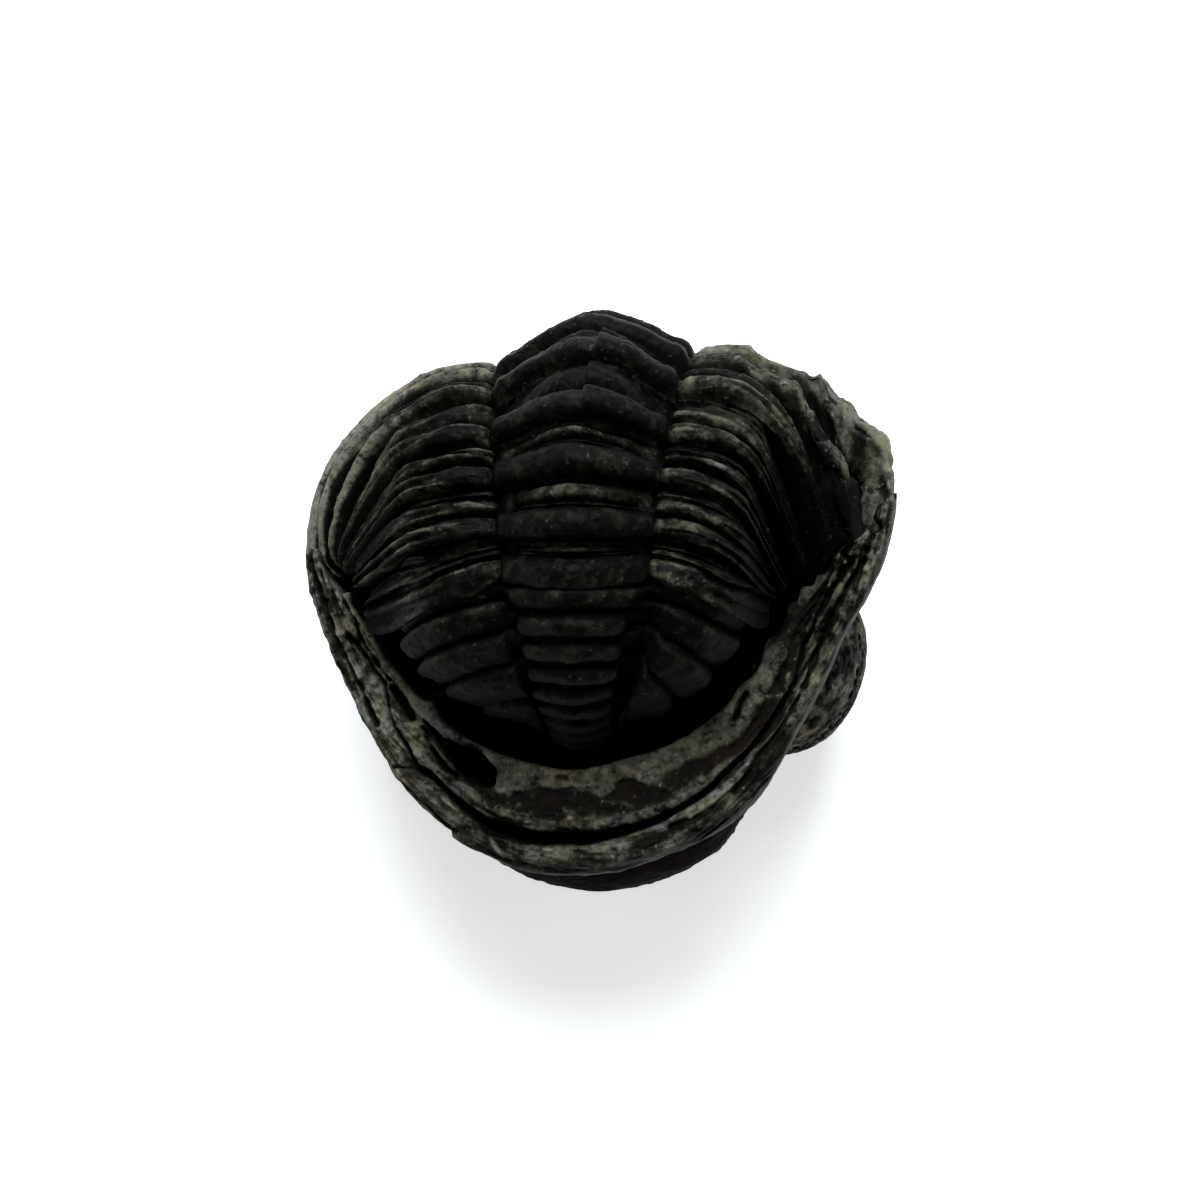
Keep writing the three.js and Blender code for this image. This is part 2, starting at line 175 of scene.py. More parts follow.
class TrilobiteFinish(PropertyGroup):
    """Colours and gloss of the stone"""

    dark: tint("Dark stone", "Unworn black stone", (0.0019, 0.0018, 0.0013))
    # The pale colour of dusty wear, which the shell also uses for painted highlights.
    worn: tint("Worn stone", "Dusty worn stone on edges and ridges", (0.160, 0.160, 0.142))
    sandy: tint("Sandy stone", "Yellower patches of the worn stone", (0.165, 0.148, 0.098))
    earthy: tint("Earthy stone", "Half-worn stone", (0.022, 0.0195, 0.0135))
    # Painted shade: deep is the near-black laid on the segments' right hollow and the last
    # segment's left tip, which lie in shadow.
    deep: tint("Deep stone", "Black stone in the hollow on the right", (0.0011, 0.0011, 0.0012))
    stain: tint("Stain", "Brown stain on the folded rim", (0.0110, 0.0080, 0.0060))
    speck: tint("Speck", "Pale mineral specks", (0.24, 0.24, 0.21))
    smooth_gloss: level("Smooth roughness", "Roughness of unworn stone", 0.48, max=1.0,
                        subtype="FACTOR")
    worn_gloss: level("Worn roughness", "Roughness of worn stone", 0.72, max=1.0,
                      subtype="FACTOR")
    grain: length("Grain", "Size of the stone's fine grain", 0.22)
    grain_height: length("Grain height", "Height of the fine grain", 0.05)


class TrilobiteStage(PropertyGroup):
    """The floor, the lights and the camera"""

    floor: tint("Floor", "Colour of the plain floor", (0.86, 0.86, 0.86))
    key_power: level("Key light", "Power of the soft light behind", 7.0, unit="POWER")
    fill_power: level("Fill light", "Power of the two side lights", 0.25, unit="POWER")
    sky: level("Surroundings", "Brightness of the white surroundings", 0.11)
    glow: level("Floor glow", "Light given off by the floor itself", 0.62)
    camera_height: length("Camera height", "Height of the camera above the floor", 299.24)
    lens: level("Lens", "Focal length of the camera, in millimetres", 109.7, 1.0)


def in_mm(group):
    """The sizes of a property group in millimetres, under the same names."""
    names = type(group).__annotations__
    return SimpleNamespace(**{name: getattr(group, name) / MM for name in names})


# ---- Fields worked out over whole arrays ----

def mix(low, high, share):
    """The straight-line blend of two values."""
    return low + (high - low) * share


def unit(value):
    """A value held between 0 and 1."""
    return np.clip(value, 0, 1)


def ease(value, low, high):
    """0 below low, 1 above high, and the cubic 3t^2 - 2t^3 between them."""
    t = unit((value - low) / (high - low))
    return t * t * (3 - 2 * t)


def fall(value, low, high):
    """1 below low and 0 above high, eased between them."""
    return 1 - ease(value, low, high)


def past(value, place, soft):
    """0 before a place and 1 past it, eased over the soft width on both sides of it."""
    return ease(value, place - soft, place + soft)


def stretch(value, start, end, soft):
    """1 between a start and an end, 0 outside, eased over the soft width at both."""
    return past(value, start, soft) * (1 - past(value, end, soft))


def bell(value, middle, width):
    """exp(-d^2), where d is the distance from the middle in widths."""
    return np.exp(-(((value - middle) / width) ** 2))


def signed_power(value, power):
    """The power of the size of a value, with the value's own sign."""
    return np.sign(value) * np.abs(value) ** power


def soft_ramp(value, bend):
    """(t + sqrt(t^2 + bend)) / 2: near 0 below 0, near t above it, and rounded between."""
    return (value + np.sqrt(value * value + bend)) / 2


def arch(value, middle, half, power):
    """A superellipse arch: 1 at the middle, falling as (1 - |t|^p)^(1/p), 0 past its feet."""
    return (1 - unit(np.abs((value - middle) / half)) ** power) ** (1 / power)


def course(place, stops):
    """A smooth line through (place, value) stops: Hermite pieces whose slope at each stop is a
    weighted mean of the two chords beside it, and level beyond the first and last stop."""
    at, value = np.array(stops, dtype=float).T
    slope = np.gradient(value, at)
    held = np.clip(place, at[0], at[-1])
    index = np.clip(np.searchsorted(at, held, side="right") - 1, 0, len(at) - 2)
    span = at[index + 1] - at[index]
    t = (held - at[index]) / span
    return (value[index] * (1 + 2 * t) * (1 - t) ** 2
            + slope[index] * span * t * (1 - t) ** 2
            + value[index + 1] * t * t * (3 - 2 * t)
            + slope[index + 1] * span * t * t * (t - 1))


def hashed(cell, seed):
    """A fixed number from 0 to 1 for each cell: its coordinates times large odd numbers are
    summed, then mixed by shifts, exclusive-ors and one more product."""
    i, j, k = np.moveaxis(cell, -1, 0).astype(np.uint32)
    h = i * np.uint32(374761393) + j * np.uint32(668265263) + k * np.uint32(2246822519)
    h += np.uint32(seed * 3266489 % 4294967291)
    h = (h ^ (h >> np.uint32(13))) * np.uint32(1274126177)
    h = (h ^ (h >> np.uint32(15))) * np.uint32(2654435761)
    h ^= h >> np.uint32(16)
    return h.astype(np.float64) / 4294967295.0


def lumps(points, size, seed):
    """Smooth noise from -1 to 1: hashed values at the corners of cubes of the given size,
    blended by the quintic 6t^5 - 15t^4 + 10t^3 along each axis."""
    scaled = points / size
    cell = np.floor(scaled)
    f = scaled - cell
    f = f * f * f * (f * (f * 6 - 15) + 10)
    cell = cell.astype(np.int64)
    total = np.zeros(points.shape[:-1])
    for corner in np.ndindex(2, 2, 2):
        weight = np.where(corner, f, 1 - f)
        total += weight[..., 0] * weight[..., 1] * weight[..., 2] * hashed(cell + corner, seed)
    return total * 2 - 1


def rough(points, size, octaves, seed):
    """Lumps of several sizes: each octave is half as large and half as high as the last."""
    return sum(lumps(points, size / 2 ** octave, seed + 17 * octave) / 2 ** octave
               for octave in range(octaves))


def tubercles(points, size, reach, seed):
    """Round bumps from 0 to 1: 1 - (d / reach)^2, where d is the distance, in cells, to the
    nearest of the grains. One grain is scattered in the middle part of each cell."""
    margin = 0.15
    scaled = points / size
    cell = np.floor(scaled).astype(np.int64)
    nearest = np.full(points.shape[:-1], 9.0)
    for offset in np.ndindex(3, 3, 3):
        near = cell + offset - 1
        gap = sum((near[..., axis] + margin + (1 - 2 * margin) * hashed(near, seed + axis)
                   - scaled[..., axis]) ** 2 for axis in range(3))
        np.minimum(nearest, gap, out=nearest)
    return unit(1 - nearest / reach ** 2)


def stack(x, y, z):
    """Three arrays as one array of points, each broadcast to the common grid."""
    return np.stack(np.broadcast_arrays(x, y, z), axis=-1).astype(np.float64)


def column(start, end, count):
    """Even steps down a grid, from loop to loop."""
    return np.linspace(start, end, count)[:, None]


def row(start, end, count):
    """Even steps along a grid, round each loop."""
    return np.linspace(start, end, count)[None, :]


def circle(count, whole=2 * math.pi):
    """Even steps once round a whole loop, which don't repeat the first."""
    return np.linspace(0, whole, count, endpoint=False)[None, :]


def settled(points):
    """The straight animal bent as burial left it, then rolled onto one eye and set on the
    table: a shear of Y by X near the tail, a shift of the middle, and a turn about Y."""
    x, y, z = np.moveaxis(points, -1, 0)
    across = x + DRIFT * fall(y, -20, -4)
    along = y + LEAN * x * fall(z, 4, 14) * ease(y, -20, -5)
    c, s = math.cos(REST_ROLL), math.sin(REST_ROLL)
    return stack(across * c + z * s, along, z * c - across * s) + np.array(ROLL_CENTRE)


# ---- From grids to pieces ----

def extended(field, rest):
    """A field over the top of each loop, with the same values added for the rest of it."""
    return np.concatenate([field, np.broadcast_to(rest, (len(field), len(rest)))], axis=1)


def pushed(grid, push):
    """A grid of closed loops moved along its outward normals. A normal is the cross product of
    the steps round the loop and from loop to loop, with the sign of the enclosed volume."""
    around = np.roll(grid, -1, axis=1) - np.roll(grid, 1, axis=1)
    normal = np.cross(around, np.gradient(grid, axis=0))
    size = np.linalg.norm(normal, axis=-1, keepdims=True)
    volume = np.sum((grid - grid.reshape(-1, 3).mean(axis=0)) * normal)
    return grid + math.copysign(1, volume) * normal / np.maximum(size, 1e-9) * push[..., None]


def closed_faces(rows, columns):
    """Corner numbers of the quads between neighbouring loops, and of the end fans."""
    ring = np.arange(columns)
    after = (ring + 1) % columns
    start = np.arange(rows - 1)[:, None] * columns
    a, b = start + ring, start + after
    quads = np.stack([a, b, b + columns, a + columns], axis=-1).reshape(-1, 4)
    pole, last = np.full(columns, rows * columns), (rows - 1) * columns
    front, back = (after, ring, pole), (ring + last, after + last, pole + 1)
    return quads, np.concatenate([np.stack(fan, axis=-1) for fan in (front, back)])


def add_piece(name, grid, worn, stain, stone):
    """Makes the closed mesh of a grid of points in millimetres, with two attributes for each
    point: its share of pale colour, which is real wear and on the shell also painted highlight
    and painted shade, and its stain, which on the shell is painted shade. Ties it to the frame."""
    rows, columns = grid.shape[:2]
    placed = settled(grid)
    placed[..., 2] = np.maximum(placed[..., 2], 0)
    poles = np.stack([placed[0].mean(axis=0), placed[-1].mean(axis=0)])
    points = np.concatenate([placed.reshape(-1, 3), poles])
    quads, fans = closed_faces(rows, columns)
    p = points - points.mean(axis=0)
    a, b, c = np.concatenate([quads[:, [0, 1, 2]], quads[:, [0, 2, 3]], fans]).T
    if np.sum(p[a] * np.cross(p[b], p[c])) < 0:
        quads, fans = quads[:, ::-1], fans[:, ::-1]
    mesh = bpy.data.meshes.new(name)
    mesh.vertices.add(len(points))
    mesh.vertices.foreach_set("co", (points * MM).astype(np.float32).ravel())
    corners = np.concatenate([quads.ravel(), fans.ravel()]).astype(np.int32)
    mesh.loops.add(len(corners))
    mesh.loops.foreach_set("vertex_index", corners)
    totals = np.repeat([4, 3], [len(quads), len(fans)])
    mesh.polygons.add(len(totals))
    mesh.polygons.foreach_set("loop_start", (np.cumsum(totals) - totals).astype(np.int32))
    mesh.update(calc_edges=True)
    mesh.polygons.foreach_set("use_smooth", np.ones(len(totals), dtype=bool))
    for label, field in (("worn", worn), ("stain", stain)):
        flat = np.broadcast_to(field, (rows, columns)).astype(np.float64)
        values = np.concatenate([flat.ravel(), [flat[0].mean(), flat[-1].mean()]])
        attribute = mesh.attributes.new(label, "FLOAT", "POINT")
        attribute.data.foreach_set("value", unit(values).astype(np.float32))
    if mesh.validate():
        raise RuntimeError(f"{name} has faces that cannot be made")
    mesh.materials.append(stone_material(stone))
    piece = bpy.data.objects.new(name, mesh)
    bpy.context.scene.collection.objects.link(piece)
    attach(piece, BODY)
    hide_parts(NODE)


# ---- Stone ----

class StoneNodes:
    """Adds nodes to a material's tree. Each method gives the output of its last node."""

    def __init__(self, tree):
        self.tree = tree
        self.place = self.node("TexCoord", "Object")

    def wire(self, socket, value):
        """Links a socket to an output, or sets it to a number or a linear colour."""
        if isinstance(value, bpy.types.NodeSocket):
            self.tree.links.new(value, socket)
        elif isinstance(value, (int, float)):
            socket.default_value = value
        else:
            socket.default_value = (*value, 1.0)

    def node(self, kind, output, inputs=None, **settings):
        """A new node with its settings made and its inputs wired, as one of its outputs."""
        made = self.tree.nodes.new("ShaderNode" + kind)
        for name, value in settings.items():
            setattr(made, name, value)
        for socket, value in (inputs or {}).items():
            self.wire(made.inputs[socket], value)
        return made.outputs[output]

    def noise(self, size, detail, roughness):
        """A noise texture whose pattern has the given size in metres."""
        return self.node("TexNoise", "Fac", {"Vector": self.place, "Scale": 1 / size,
                                             "Detail": detail, "Roughness": roughness})

    def stored(self, name):
        """A value stored on the points of the mesh."""
        return self.node("Attribute", "Fac", attribute_name=name)

    def ramp(self, value, *stops):
        """A value remapped through (position, level) stops."""
        colour = self.node("ValToRGB", "Color", {"Fac": value})
        elements = colour.node.color_ramp.elements
        for element, stop in zip(tuple(elements), (stops[0], stops[-1])):
            element.position = stop[0]
        between = [elements.new(position) for position, _ in stops[1:-1]]
        for element, (_, brightness) in zip((elements[0], *between, elements[-1]), stops):
            element.color = (brightness, brightness, brightness, 1.0)
        return colour

    def maths(self, operation, first, second):
        """One operation on two values."""
        return self.node("Math", "Value", {0: first, 1: second}, operation=operation)

    def add(self, first, *others):
        """The sum of two or more values."""
        for other in others:
            first = self.maths("ADD", first, other)
        return first

    def times(self, first, second):
        """The product of two values."""
        return self.maths("MULTIPLY", first, second)

    def centred(self, noise, strength):
        """Noise moved to lie about 0: (noise - 0.5) * strength."""
        return self.times(self.maths("SUBTRACT", noise, 0.5), strength)

    def blend(self, share, first, second):
        """The blend of two colours."""
        inputs = {"Factor": share, "A": first, "B": second}
        return self.node("Mix", "Result", inputs, data_type="RGBA")


def stone_material(name):
    """Black stone that turns pale with its share of pale colour: dusty where it is rubbed, and on
    the shell also lighter where highlights are painted and darker where shade is painted. It
    has specks, and matt stains of one of the finish's tones; on the shell that tone is painted
    shade."""
    if name in bpy.data.materials:
        return bpy.data.materials[name]
    rougher, gleam, tone = STONES[name]
    finish = bpy.context.scene.trilobite_finish
    material = bpy.data.materials.new(name)
    material.use_nodes = True
    make = StoneNodes(material.node_tree)
    patch_size, dust_size, speck_size = 3.2 * MM, 0.9 * MM, 0.42 * MM
    broad = make.noise(patch_size, 4, 0.6)
    fine = make.noise(finish.grain * 2.2, 5, 0.65)
    dust = make.noise(dust_size, 6, 0.7)
    worn = make.stored("worn")
    uneven = make.add(make.centred(dust, 4.2), make.centred(broad, 1.6), make.centred(fine, 1.6))
    # The share of pale colour with its noise: real wear, and on the shell painted light and shade
    # too.
    wear = make.add(worn, make.times(uneven, make.add(worn, 0.03)))
    colour = make.blend(make.ramp(wear, (0.03, 0), (0.3, 1)), finish.dark, finish.earthy)
    pale = make.blend(make.ramp(broad, (0.4, 0), (0.6, 1)), finish.worn, finish.sandy)
    colour = make.blend(make.ramp(wear, (0.2, 0), (0.6, 0.45), (1, 1)), colour, pale)
    stain = make.times(make.stored("stain"), make.ramp(broad, (0.3, 0.35), (0.62, 1)))
    colour = make.blend(stain, colour, getattr(finish, tone))
    specks = make.ramp(make.noise(speck_size, 2, 0.4), (0.66, 0), (0.74, 0.85))
    colour = make.blend(make.times(specks, make.add(worn, 0.07)), colour, finish.speck)
    roughness = make.add(make.times(wear, finish.worn_gloss - finish.smooth_gloss),
                         finish.smooth_gloss + rougher, make.centred(fine, 0.22),
                         make.times(stain, 0.4))
    height = make.add(fine, make.times(dust, 1.3))
    bumps = {"Strength": 0.85, "Distance": finish.grain_height, "Height": height}
    shader = material.node_tree.nodes["Principled BSDF"]
    shader.inputs["Specular IOR Level"].default_value = gleam
    make.wire(shader.inputs["Base Color"], colour)
    make.wire(shader.inputs["Roughness"], roughness)
    make.wire(shader.inputs["Normal"], make.node("Bump", "Normal", bumps))
    return material


# ---- Thorax ----

def by_segment(number, values):
    """A smooth line through one value for each segment."""
    return course(number, tuple(enumerate(values)))


def past_axis(s):
    """How far a place lies on the way from the axial furrow (0) to the tip (1)."""
    return unit((s - AXIS_SHARE) / (1 - AXIS_SHARE))


def hoop(sizes, number, across):
    """One segment's hoop, seen along the roll. The axial lobe is the arch
    top - rise (x / half)^1.6. Each side is a quarter of a superellipse at the front of the
    thorax and a gentle slope that breaks into a steep one at the back. Past the break, the
    right side of the rear segments is pressed inward. Gives the distance sideways, the
    distance from the hinge line, and how far out it is."""
    right, s = past(across, 0, 0.05), np.abs(across)
    half = mix(sizes.front_axis, sizes.rear_axis, unit((number - 6) / 5))
    width = sizes.half_width + mix(by_segment(number, LEFT_WIDTHS),
                                   by_segment(number, RIGHT_WIDTHS), right)
    top = sizes.ring_radius + sizes.neck_rise * unit(1 - number / 3)
    shoulder = sizes.ring_radius - sizes.axis_rise
    tip = sizes.tip_radius + ease(number, 9.5, 11) * mix(1.6, 3, right)
    inside, outside, on_axis = unit(s / AXIS_SHARE), past_axis(s), s <= AXIS_SHARE
    turn = outside * math.radians(97)
    steep = soft_ramp((outside - 0.5) / 0.5, 0.012)
    straight = 1 - 0.12 * outside - 0.87 * steep - 0.06 * ease(outside, 0.93, 1)
    pulled = ease(number, 5.5, 9)
    square = (1 - right) * bell(number, 3.6, 1.2)
    far = mix(np.sin(turn) ** mix(0.95, 0.78, square), outside, pulled)
    high = mix(signed_power(np.cos(turn), mix(0.85, 0.66, square)), straight, pulled)
    x = np.where(on_axis, inside * half, mix(half, width, far))
    r = np.where(on_axis, top - (top - shoulder) * inside ** 1.6, mix(tip, shoulder, high))
    swell = bell(s, 0.42, 0.13) * ease(s, AXIS_SHARE - 0.02, AXIS_SHARE + 0.06)
    r += mix(0.6, 0.15, right) * swell - right * fall(number, 6.4, 6.6) * course(s, CHIPS)
    press_from = 12.5
    pressed = right * ease(number, 5, 6) * mix(0.28, 0.72, ease(number, 6, 10))
    x -= pressed * soft_ramp(x - press_from, 1)
    return np.sign(across) * x, r, np.where(on_axis, 0, far)


def over_hoop(sizes, number, angle, across, lift):
    """A point over a hoop: angle in degrees round the roll, lift out from the surface. The
    sides lag behind the axis towards the tail, the right side most."""
    x, r, far = hoop(sizes, number, across)
    right, out = past(across, 0, 0.05), far ** 3
    lag = 8 * ease(number, 6, 11) * out + (1 - right) * 17 * ease(number, 9.8, 11) * far ** 1.4
    lag = lag + right * (19 * ease(number, 5, 8) + 8 * ease(number, 8, 11)) * far ** 1.9
    theta = np.radians(angle + lag)
    radius = np.maximum(r + lift * (1 - 0.45 * out), 0.4)
    sunk = 3 * right * ease(number, 4, 7) * fall(number, 9, 11)
    return stack(x + np.sign(x) * lift * 0.5 * out,
                 (HINGE_Y - sunk) * out + radius * np.cos(theta),
                 HINGE_Z * out + radius * np.sin(theta))


def band(turn, front, rear, power):
    """A raised band between two turns: an arch that is 0 on top and -1 at its feet."""
    return arch(turn, (front + rear) / 2, np.maximum(rear - front, 0.02) / 2, power) - 1


def highest(*fields):
    """The highest of several fields at each point."""
    return np.maximum.reduce(np.broadcast_arrays(*fields))


def segment_lift(turn, across, depth, gap, number):
    """Height over the hoop for a turn in pitches and a place across from 0 to 1. On the axis a
    half ring shaped like a lens rises behind the ring before, with a thin ridge beside it, and
    the ring follows. On each side come a thin flange, a front band that widens outward, the
    pleural furrow and a broad rear band. The highest of them shows, and deep gaps are left."""
    s, right = np.abs(across), past(across, 0, 0.05)
    gap_end = -gap + 0.34
    floor = -depth * (1.9 + 0.8 * ease(s, 0.1, 0.25) * fall(s, 0.3, 0.36))
    ring = 1.5 * depth * band(turn, -0.24, 0.27, 2.6) + 0.35 * turn + 0.3 * bell(s, 0.275, 0.025)
    lens = np.sqrt(unit(1 - (s / 0.26) ** 2))
    dome = 1.2 * band(turn, gap_end + 0.03, -0.28, 2) - 0.42 - 1.9 * (1 - lens)
    notch = 0.8 * bell(turn, -0.25, 0.03)
    ridge_at = mix(gap_end + 0.04, -0.275, ease(number, 8.4, 8.6))
    ridge = 0.9 * band(turn, ridge_at - 0.03, ridge_at + 0.03, 2) - 0.85
    ridge = ridge - 0.9 * ease(s, 0.18, 0.28)
    axis = highest(ring, depth * (dome - notch), depth * ridge, floor)
    flank = ease(s, 0.45, 0.72)
    narrow = flank * fall(number, 7.2, 8.2) * (1 - right)
    comb = np.cos(turn * COMB)
    rear_front = mix(-0.16, -0.13, flank)
    rear_band = band(turn, rear_front, 0.27, mix(2.4, 1.5, narrow))
    rear_band = ((1.35 + 0.3 * narrow) * depth * rear_band + 0.45 * turn
                 + 0.5 * (flank - narrow) * (comb - 0.5))
    thin_front = mix(-0.34, gap_end + mix(0.13, 0.05, flank), mix(0.35, 1, ease(s, 0.31, 0.46)))
    front_band = band(turn, thin_front, rear_front - 0.05, 2.2) - mix(0.24, 0.1, flank)
    front_band = depth * front_band + 0.28 * flank * comb
    flange = depth * (0.8 * band(turn, gap_end + 0.015, gap_end + 0.085, 2) - 0.7)
    side = highest(rear_band, front_band, flange, floor)
    lift = mix(axis, side, past(s, AXIS_SHARE, 0.006))
    return lift - 0.35 * bell(s, AXIS_SHARE + 0.002, 0.010)


def segment_grid(sizes, number, angle, gap):
    """The closed grid of one segment: loops across the animal, each made of the upper outline,
    the drop at the rear, the underside and the front wall. Gives the grid, the lift over the
    hoop, the places across, the streaks and the turns."""
    stations, top_count = 440, 74
    across = column(-1, 1, stations)
    s = np.abs(across)
    seed = 100 + 10 * number
    front = -gap + 0.16
    top_turn = row(front, 0.285, top_count)
    wave = rough(stack(across * 22, number * 9, 0), 5, 2, seed)
    turn = top_turn + 0.045 * wave * fall(top_turn, 0.1, 0.28)
    lift = segment_lift(turn, across, sizes.furrow_depth, gap, number)
    lift += 0.6 * turn * ease(s, 0.5, 0.85)
    lift += 0.14 * lumps(stack(across * 22, turn * 5, number * 7), 3, seed + 3)
    streaks = rough(stack(across * 5.5, turn * 9, number * 5), 1, 3, seed + 5)
    lift += 0.13 * streaks * ease(s, 0.3, 0.4)
    if number in (7, 8):
        fault_at = 0.045 - 0.02 * (number - 7)
        fault = ease(across, fault_at, fault_at + 0.01) * fall(across, 0.12, 0.3)
        lift += 0.38 * fault
        turn -= 0.05 * fault
    base = -sizes.thickness
    low_turn = (0.295, 0.30, 0.295, 0.28, *np.linspace(0.22, front + 0.1, 6), front, front - 0.02)
    low_lift = (-1.6, -2.3, -3, base + 0.1, *[base] * 6, base + 0.2, base + 0.5)
    turn, lift = extended(turn, low_turn), extended(lift, low_lift)
    streaks = extended(streaks, [0] * len(low_turn))
    tip = np.sqrt(1 - np.clip((s - 0.955) / 0.045, 0, 0.999) ** 2)
    turn *= tip * (1 + ease(s, 0.6, 0.95) * mix(0.3, 1.3, ease(number, 8, 11)))
    if number == len(RING_ANGLES):
        turn *= np.where(turn > 0, 1 + 0.7 * ease(s, 0.3, 0.42), 1)
    lift = mix(-1.3, lift, tip)
    grid = over_hoop(sizes, number, angle + turn * PITCH, across, lift)
    return grid, lift, across, streaks, turn


def build_segment(name, sizes, number, angle, gap):
    """One segment with its ribs, roughened along its normals, and pale at its crests, partly from
    wear and partly as painted highlight. Light and shade are also painted on its ridges,
    streaks and domes, and shade on its right side and a hollow on the right. Beside a
    slanting crack on the right, the front segments are shattered into facets."""
    grid, lift, across, streaks, turn = segment_grid(sizes, number, angle, gap)
    x, y, z = np.moveaxis(grid, -1, 0)
    s, front = np.abs(across), number < 7
    crack_x, crack_y, slant = 16.4, 10.5, 0.36
    split = x - crack_x - slant * (crack_y - y) + 0.5 * rough(grid, 2.5, 2, 39)
    shattered = ease(split, -0.2, 0.4) * front
    facets = rough(stack(split * 1.1, y * 0.35, z * 0.35), 1, 3, 43)
    crack = bell(split, -0.25, 0.3) * fall(y, 7.5, crack_y) * front
    push = 0.07 * rough(grid, 1.1, 3, 7 + number) + 0.07 * tubercles(grid, 0.75, 0.32, 31 + number)
    push += shattered * (0.1 * tubercles(grid, 1, 0.62, 41) + 0.36 * facets - 0.1) - 0.9 * crack
    grid = pushed(grid, push)
    x, y = grid[..., 0], grid[..., 1]
    # Painted light: front_lit makes the pleura crests of the front segments paler where they face
    # the light, more on the left.
    front_lit = fall(number, 5, 7.5)
    # Painted shade: shaded_right keeps the right flank of the rear segments free of pale colour
    # where it lies in shadow.
    shaded_right = past(across, 0, 0.1) * (number > 5) * mix(0.5, 1, ease(s, 0.62, 0.8))
    flank = ease(s, 0.45, 0.75) * (1 - shaded_right) * (1 - 0.8 * ease(number, 6.5, 8.5))
    # The crests turn pale, partly as real wear and partly as painted highlight.
    crest = ease(lift, -1, 0.1)
    combed = np.maximum(ease(number, 7.2, 8.2), past(across, 0, 0.1))
    # Painted light and shade: ridge makes the crest of each rib on the flanks pale and its groove
    # dark, stronger on the left.
    ridge = mix(bell(turn, 0.18, 0.10), 0.5 + 0.5 * np.cos(turn * COMB), combed)
    side = ease(s, AXIS_SHARE - 0.01, AXIS_SHARE + 0.02)
    left = ease(-across, 0.1, 0.3)
    worn = crest * ((0.55 + 0.07 * left) * flank + mix(0.4, 0.74, left) * front_lit * side)
    worn += 0.06 * flank + 0.02 * side + shattered * (0.3 + 0.4 * facets) - 0.8 * crack
    worn += (0.02 + 0.14 * flank) * rough(grid, 4, 3, 55) + 0.09 * rough(grid, 0.8, 3, 57) + 0.028
    # Painted highlight: the streaks on the inner pleurae are lightened like a bluish gleam; on the
    # flanks the streaks are real wear.
    inner = ease(s, 0.3, 0.31) * fall(s, 0.5, 0.7)
    worn += (0.2 * flank + 0.3 * inner) * np.maximum(streaks, 0)
    worn += flank * (mix(0.6, 1.1, left) * (ridge - 0.4) + 0.3 * left * streaks)
    # Painted highlights on the inner ends of the pleural bands and on the half-ring domes of the
    # last segments.
    worn += 0.12 * stretch(s, 0.305, 0.33, 0.008) * crest
    worn += 0.22 * bell(s, 0, 0.16) * stretch(turn, -0.62, -0.38, 0.03) * (number > 8)
    # Painted shade: deep marks the right side of the rear segments, a hollow on the right and the
    # last segment's left tip, which lie in shadow; it lays the deep colour there and takes away
    # pale colour.
    hollow = ease(x, 16.5, 18) * fall(y, 8, 10) * (1 - shattered) * front
    deep = ease(across, 0.6, 0.85) * ease(number, 5, 7) + hollow
    deep += 0.8 * ease(-across, 0.72, 0.9) * ease(number, 10, 11)
    worn -= 0.2 * deep * ease(number, 9, 11)
    # The painted shade goes in as the stain attribute, which stone_shell turns into the deep
    # colour.
    add_piece(name, grid, worn, deep, "stone_shell")


class TRILOBITE_OT_thorax(Operator):
    """Builds the eleven thoracic segments and the ring at the back of the head"""

    bl_idname = "trilobite.thorax"
    bl_label = "Thorax"

    def execute(self, context):
        sizes = in_mm(context.scene.trilobite_thorax)
        build_segment("occipital_ring", sizes, 0, OCCIPITAL_ANGLE, 1)
        before = (OCCIPITAL_ANGLE, *RING_ANGLES)
        for number, angle in enumerate(RING_ANGLES, 1):
            gap = (angle - before[number - 1]) / PITCH
            build_segment(f"thorax_segment_{number:02d}", sizes, number, angle, gap)
        return {"FINISHED"}


# ---- Tail shield ----

def tail_phase(along):
    """The number of the ring crest at a place along the tail, where crest n lies at
    0.094 + 0.187 n - 0.0095 n^2."""
    first, step, closing = 0.094, 0.187, 0.0095
    inside = step ** 2 - 4 * closing * (along - first)
    return (step - np.sqrt(np.maximum(inside, 0))) / (2 * closing)


def from_crest(phase):
    """The distance from the nearest whole number, from -0.5 to 0.5."""
    return phase - np.floor(phase + 0.5)


def tail_top(sizes, along, across):
    """The top of the tail shield. The axis is an arch that narrows and falls towards the end.
    Each side is a quarter of a superellipse down to the blunt ends of the ribs, which curve
    back, and the right side is pressed inward."""
    side, s = np.sign(across), np.abs(across)
    inside, on_axis = unit(s / AXIS_SHARE), s <= AXIS_SHARE
    half = mix(5.3, 2.5, along)
    axis_y = mix(-sizes.front, -sizes.end + 1.4, along)
    crest = 17.1 - 1.6 * along - 11.5 * along ** 2.6
    furrow = crest - mix(3.4, 1.8, along)
    quarter = along * math.pi / 2
    margin_x = np.maximum(sizes.half_width * np.cos(quarter) ** 1.25, half + 0.3)
    margin_y = mix(-5.4, -sizes.end + 2.7, np.sin(quarter))
    turn = past_axis(s) * math.pi / 2
    x = np.where(on_axis, inside * half, mix(half, margin_x, np.sin(turn) ** 0.9))
    y = np.where(on_axis, axis_y + 0.7 * along * inside ** 2,
                 mix(axis_y + 0.7 * along, margin_y, np.sin(turn) ** 1.15))
    z = np.where(on_axis, crest - (crest - furrow) * inside ** 1.8,
                 mix(mix(4.5, 1, along), furrow, np.cos(turn) ** 0.8))
    press_from = 8
    x -= 0.3 * soft_ramp(x - press_from, 1) * (side > 0)
    return stack(side * x, y, z)


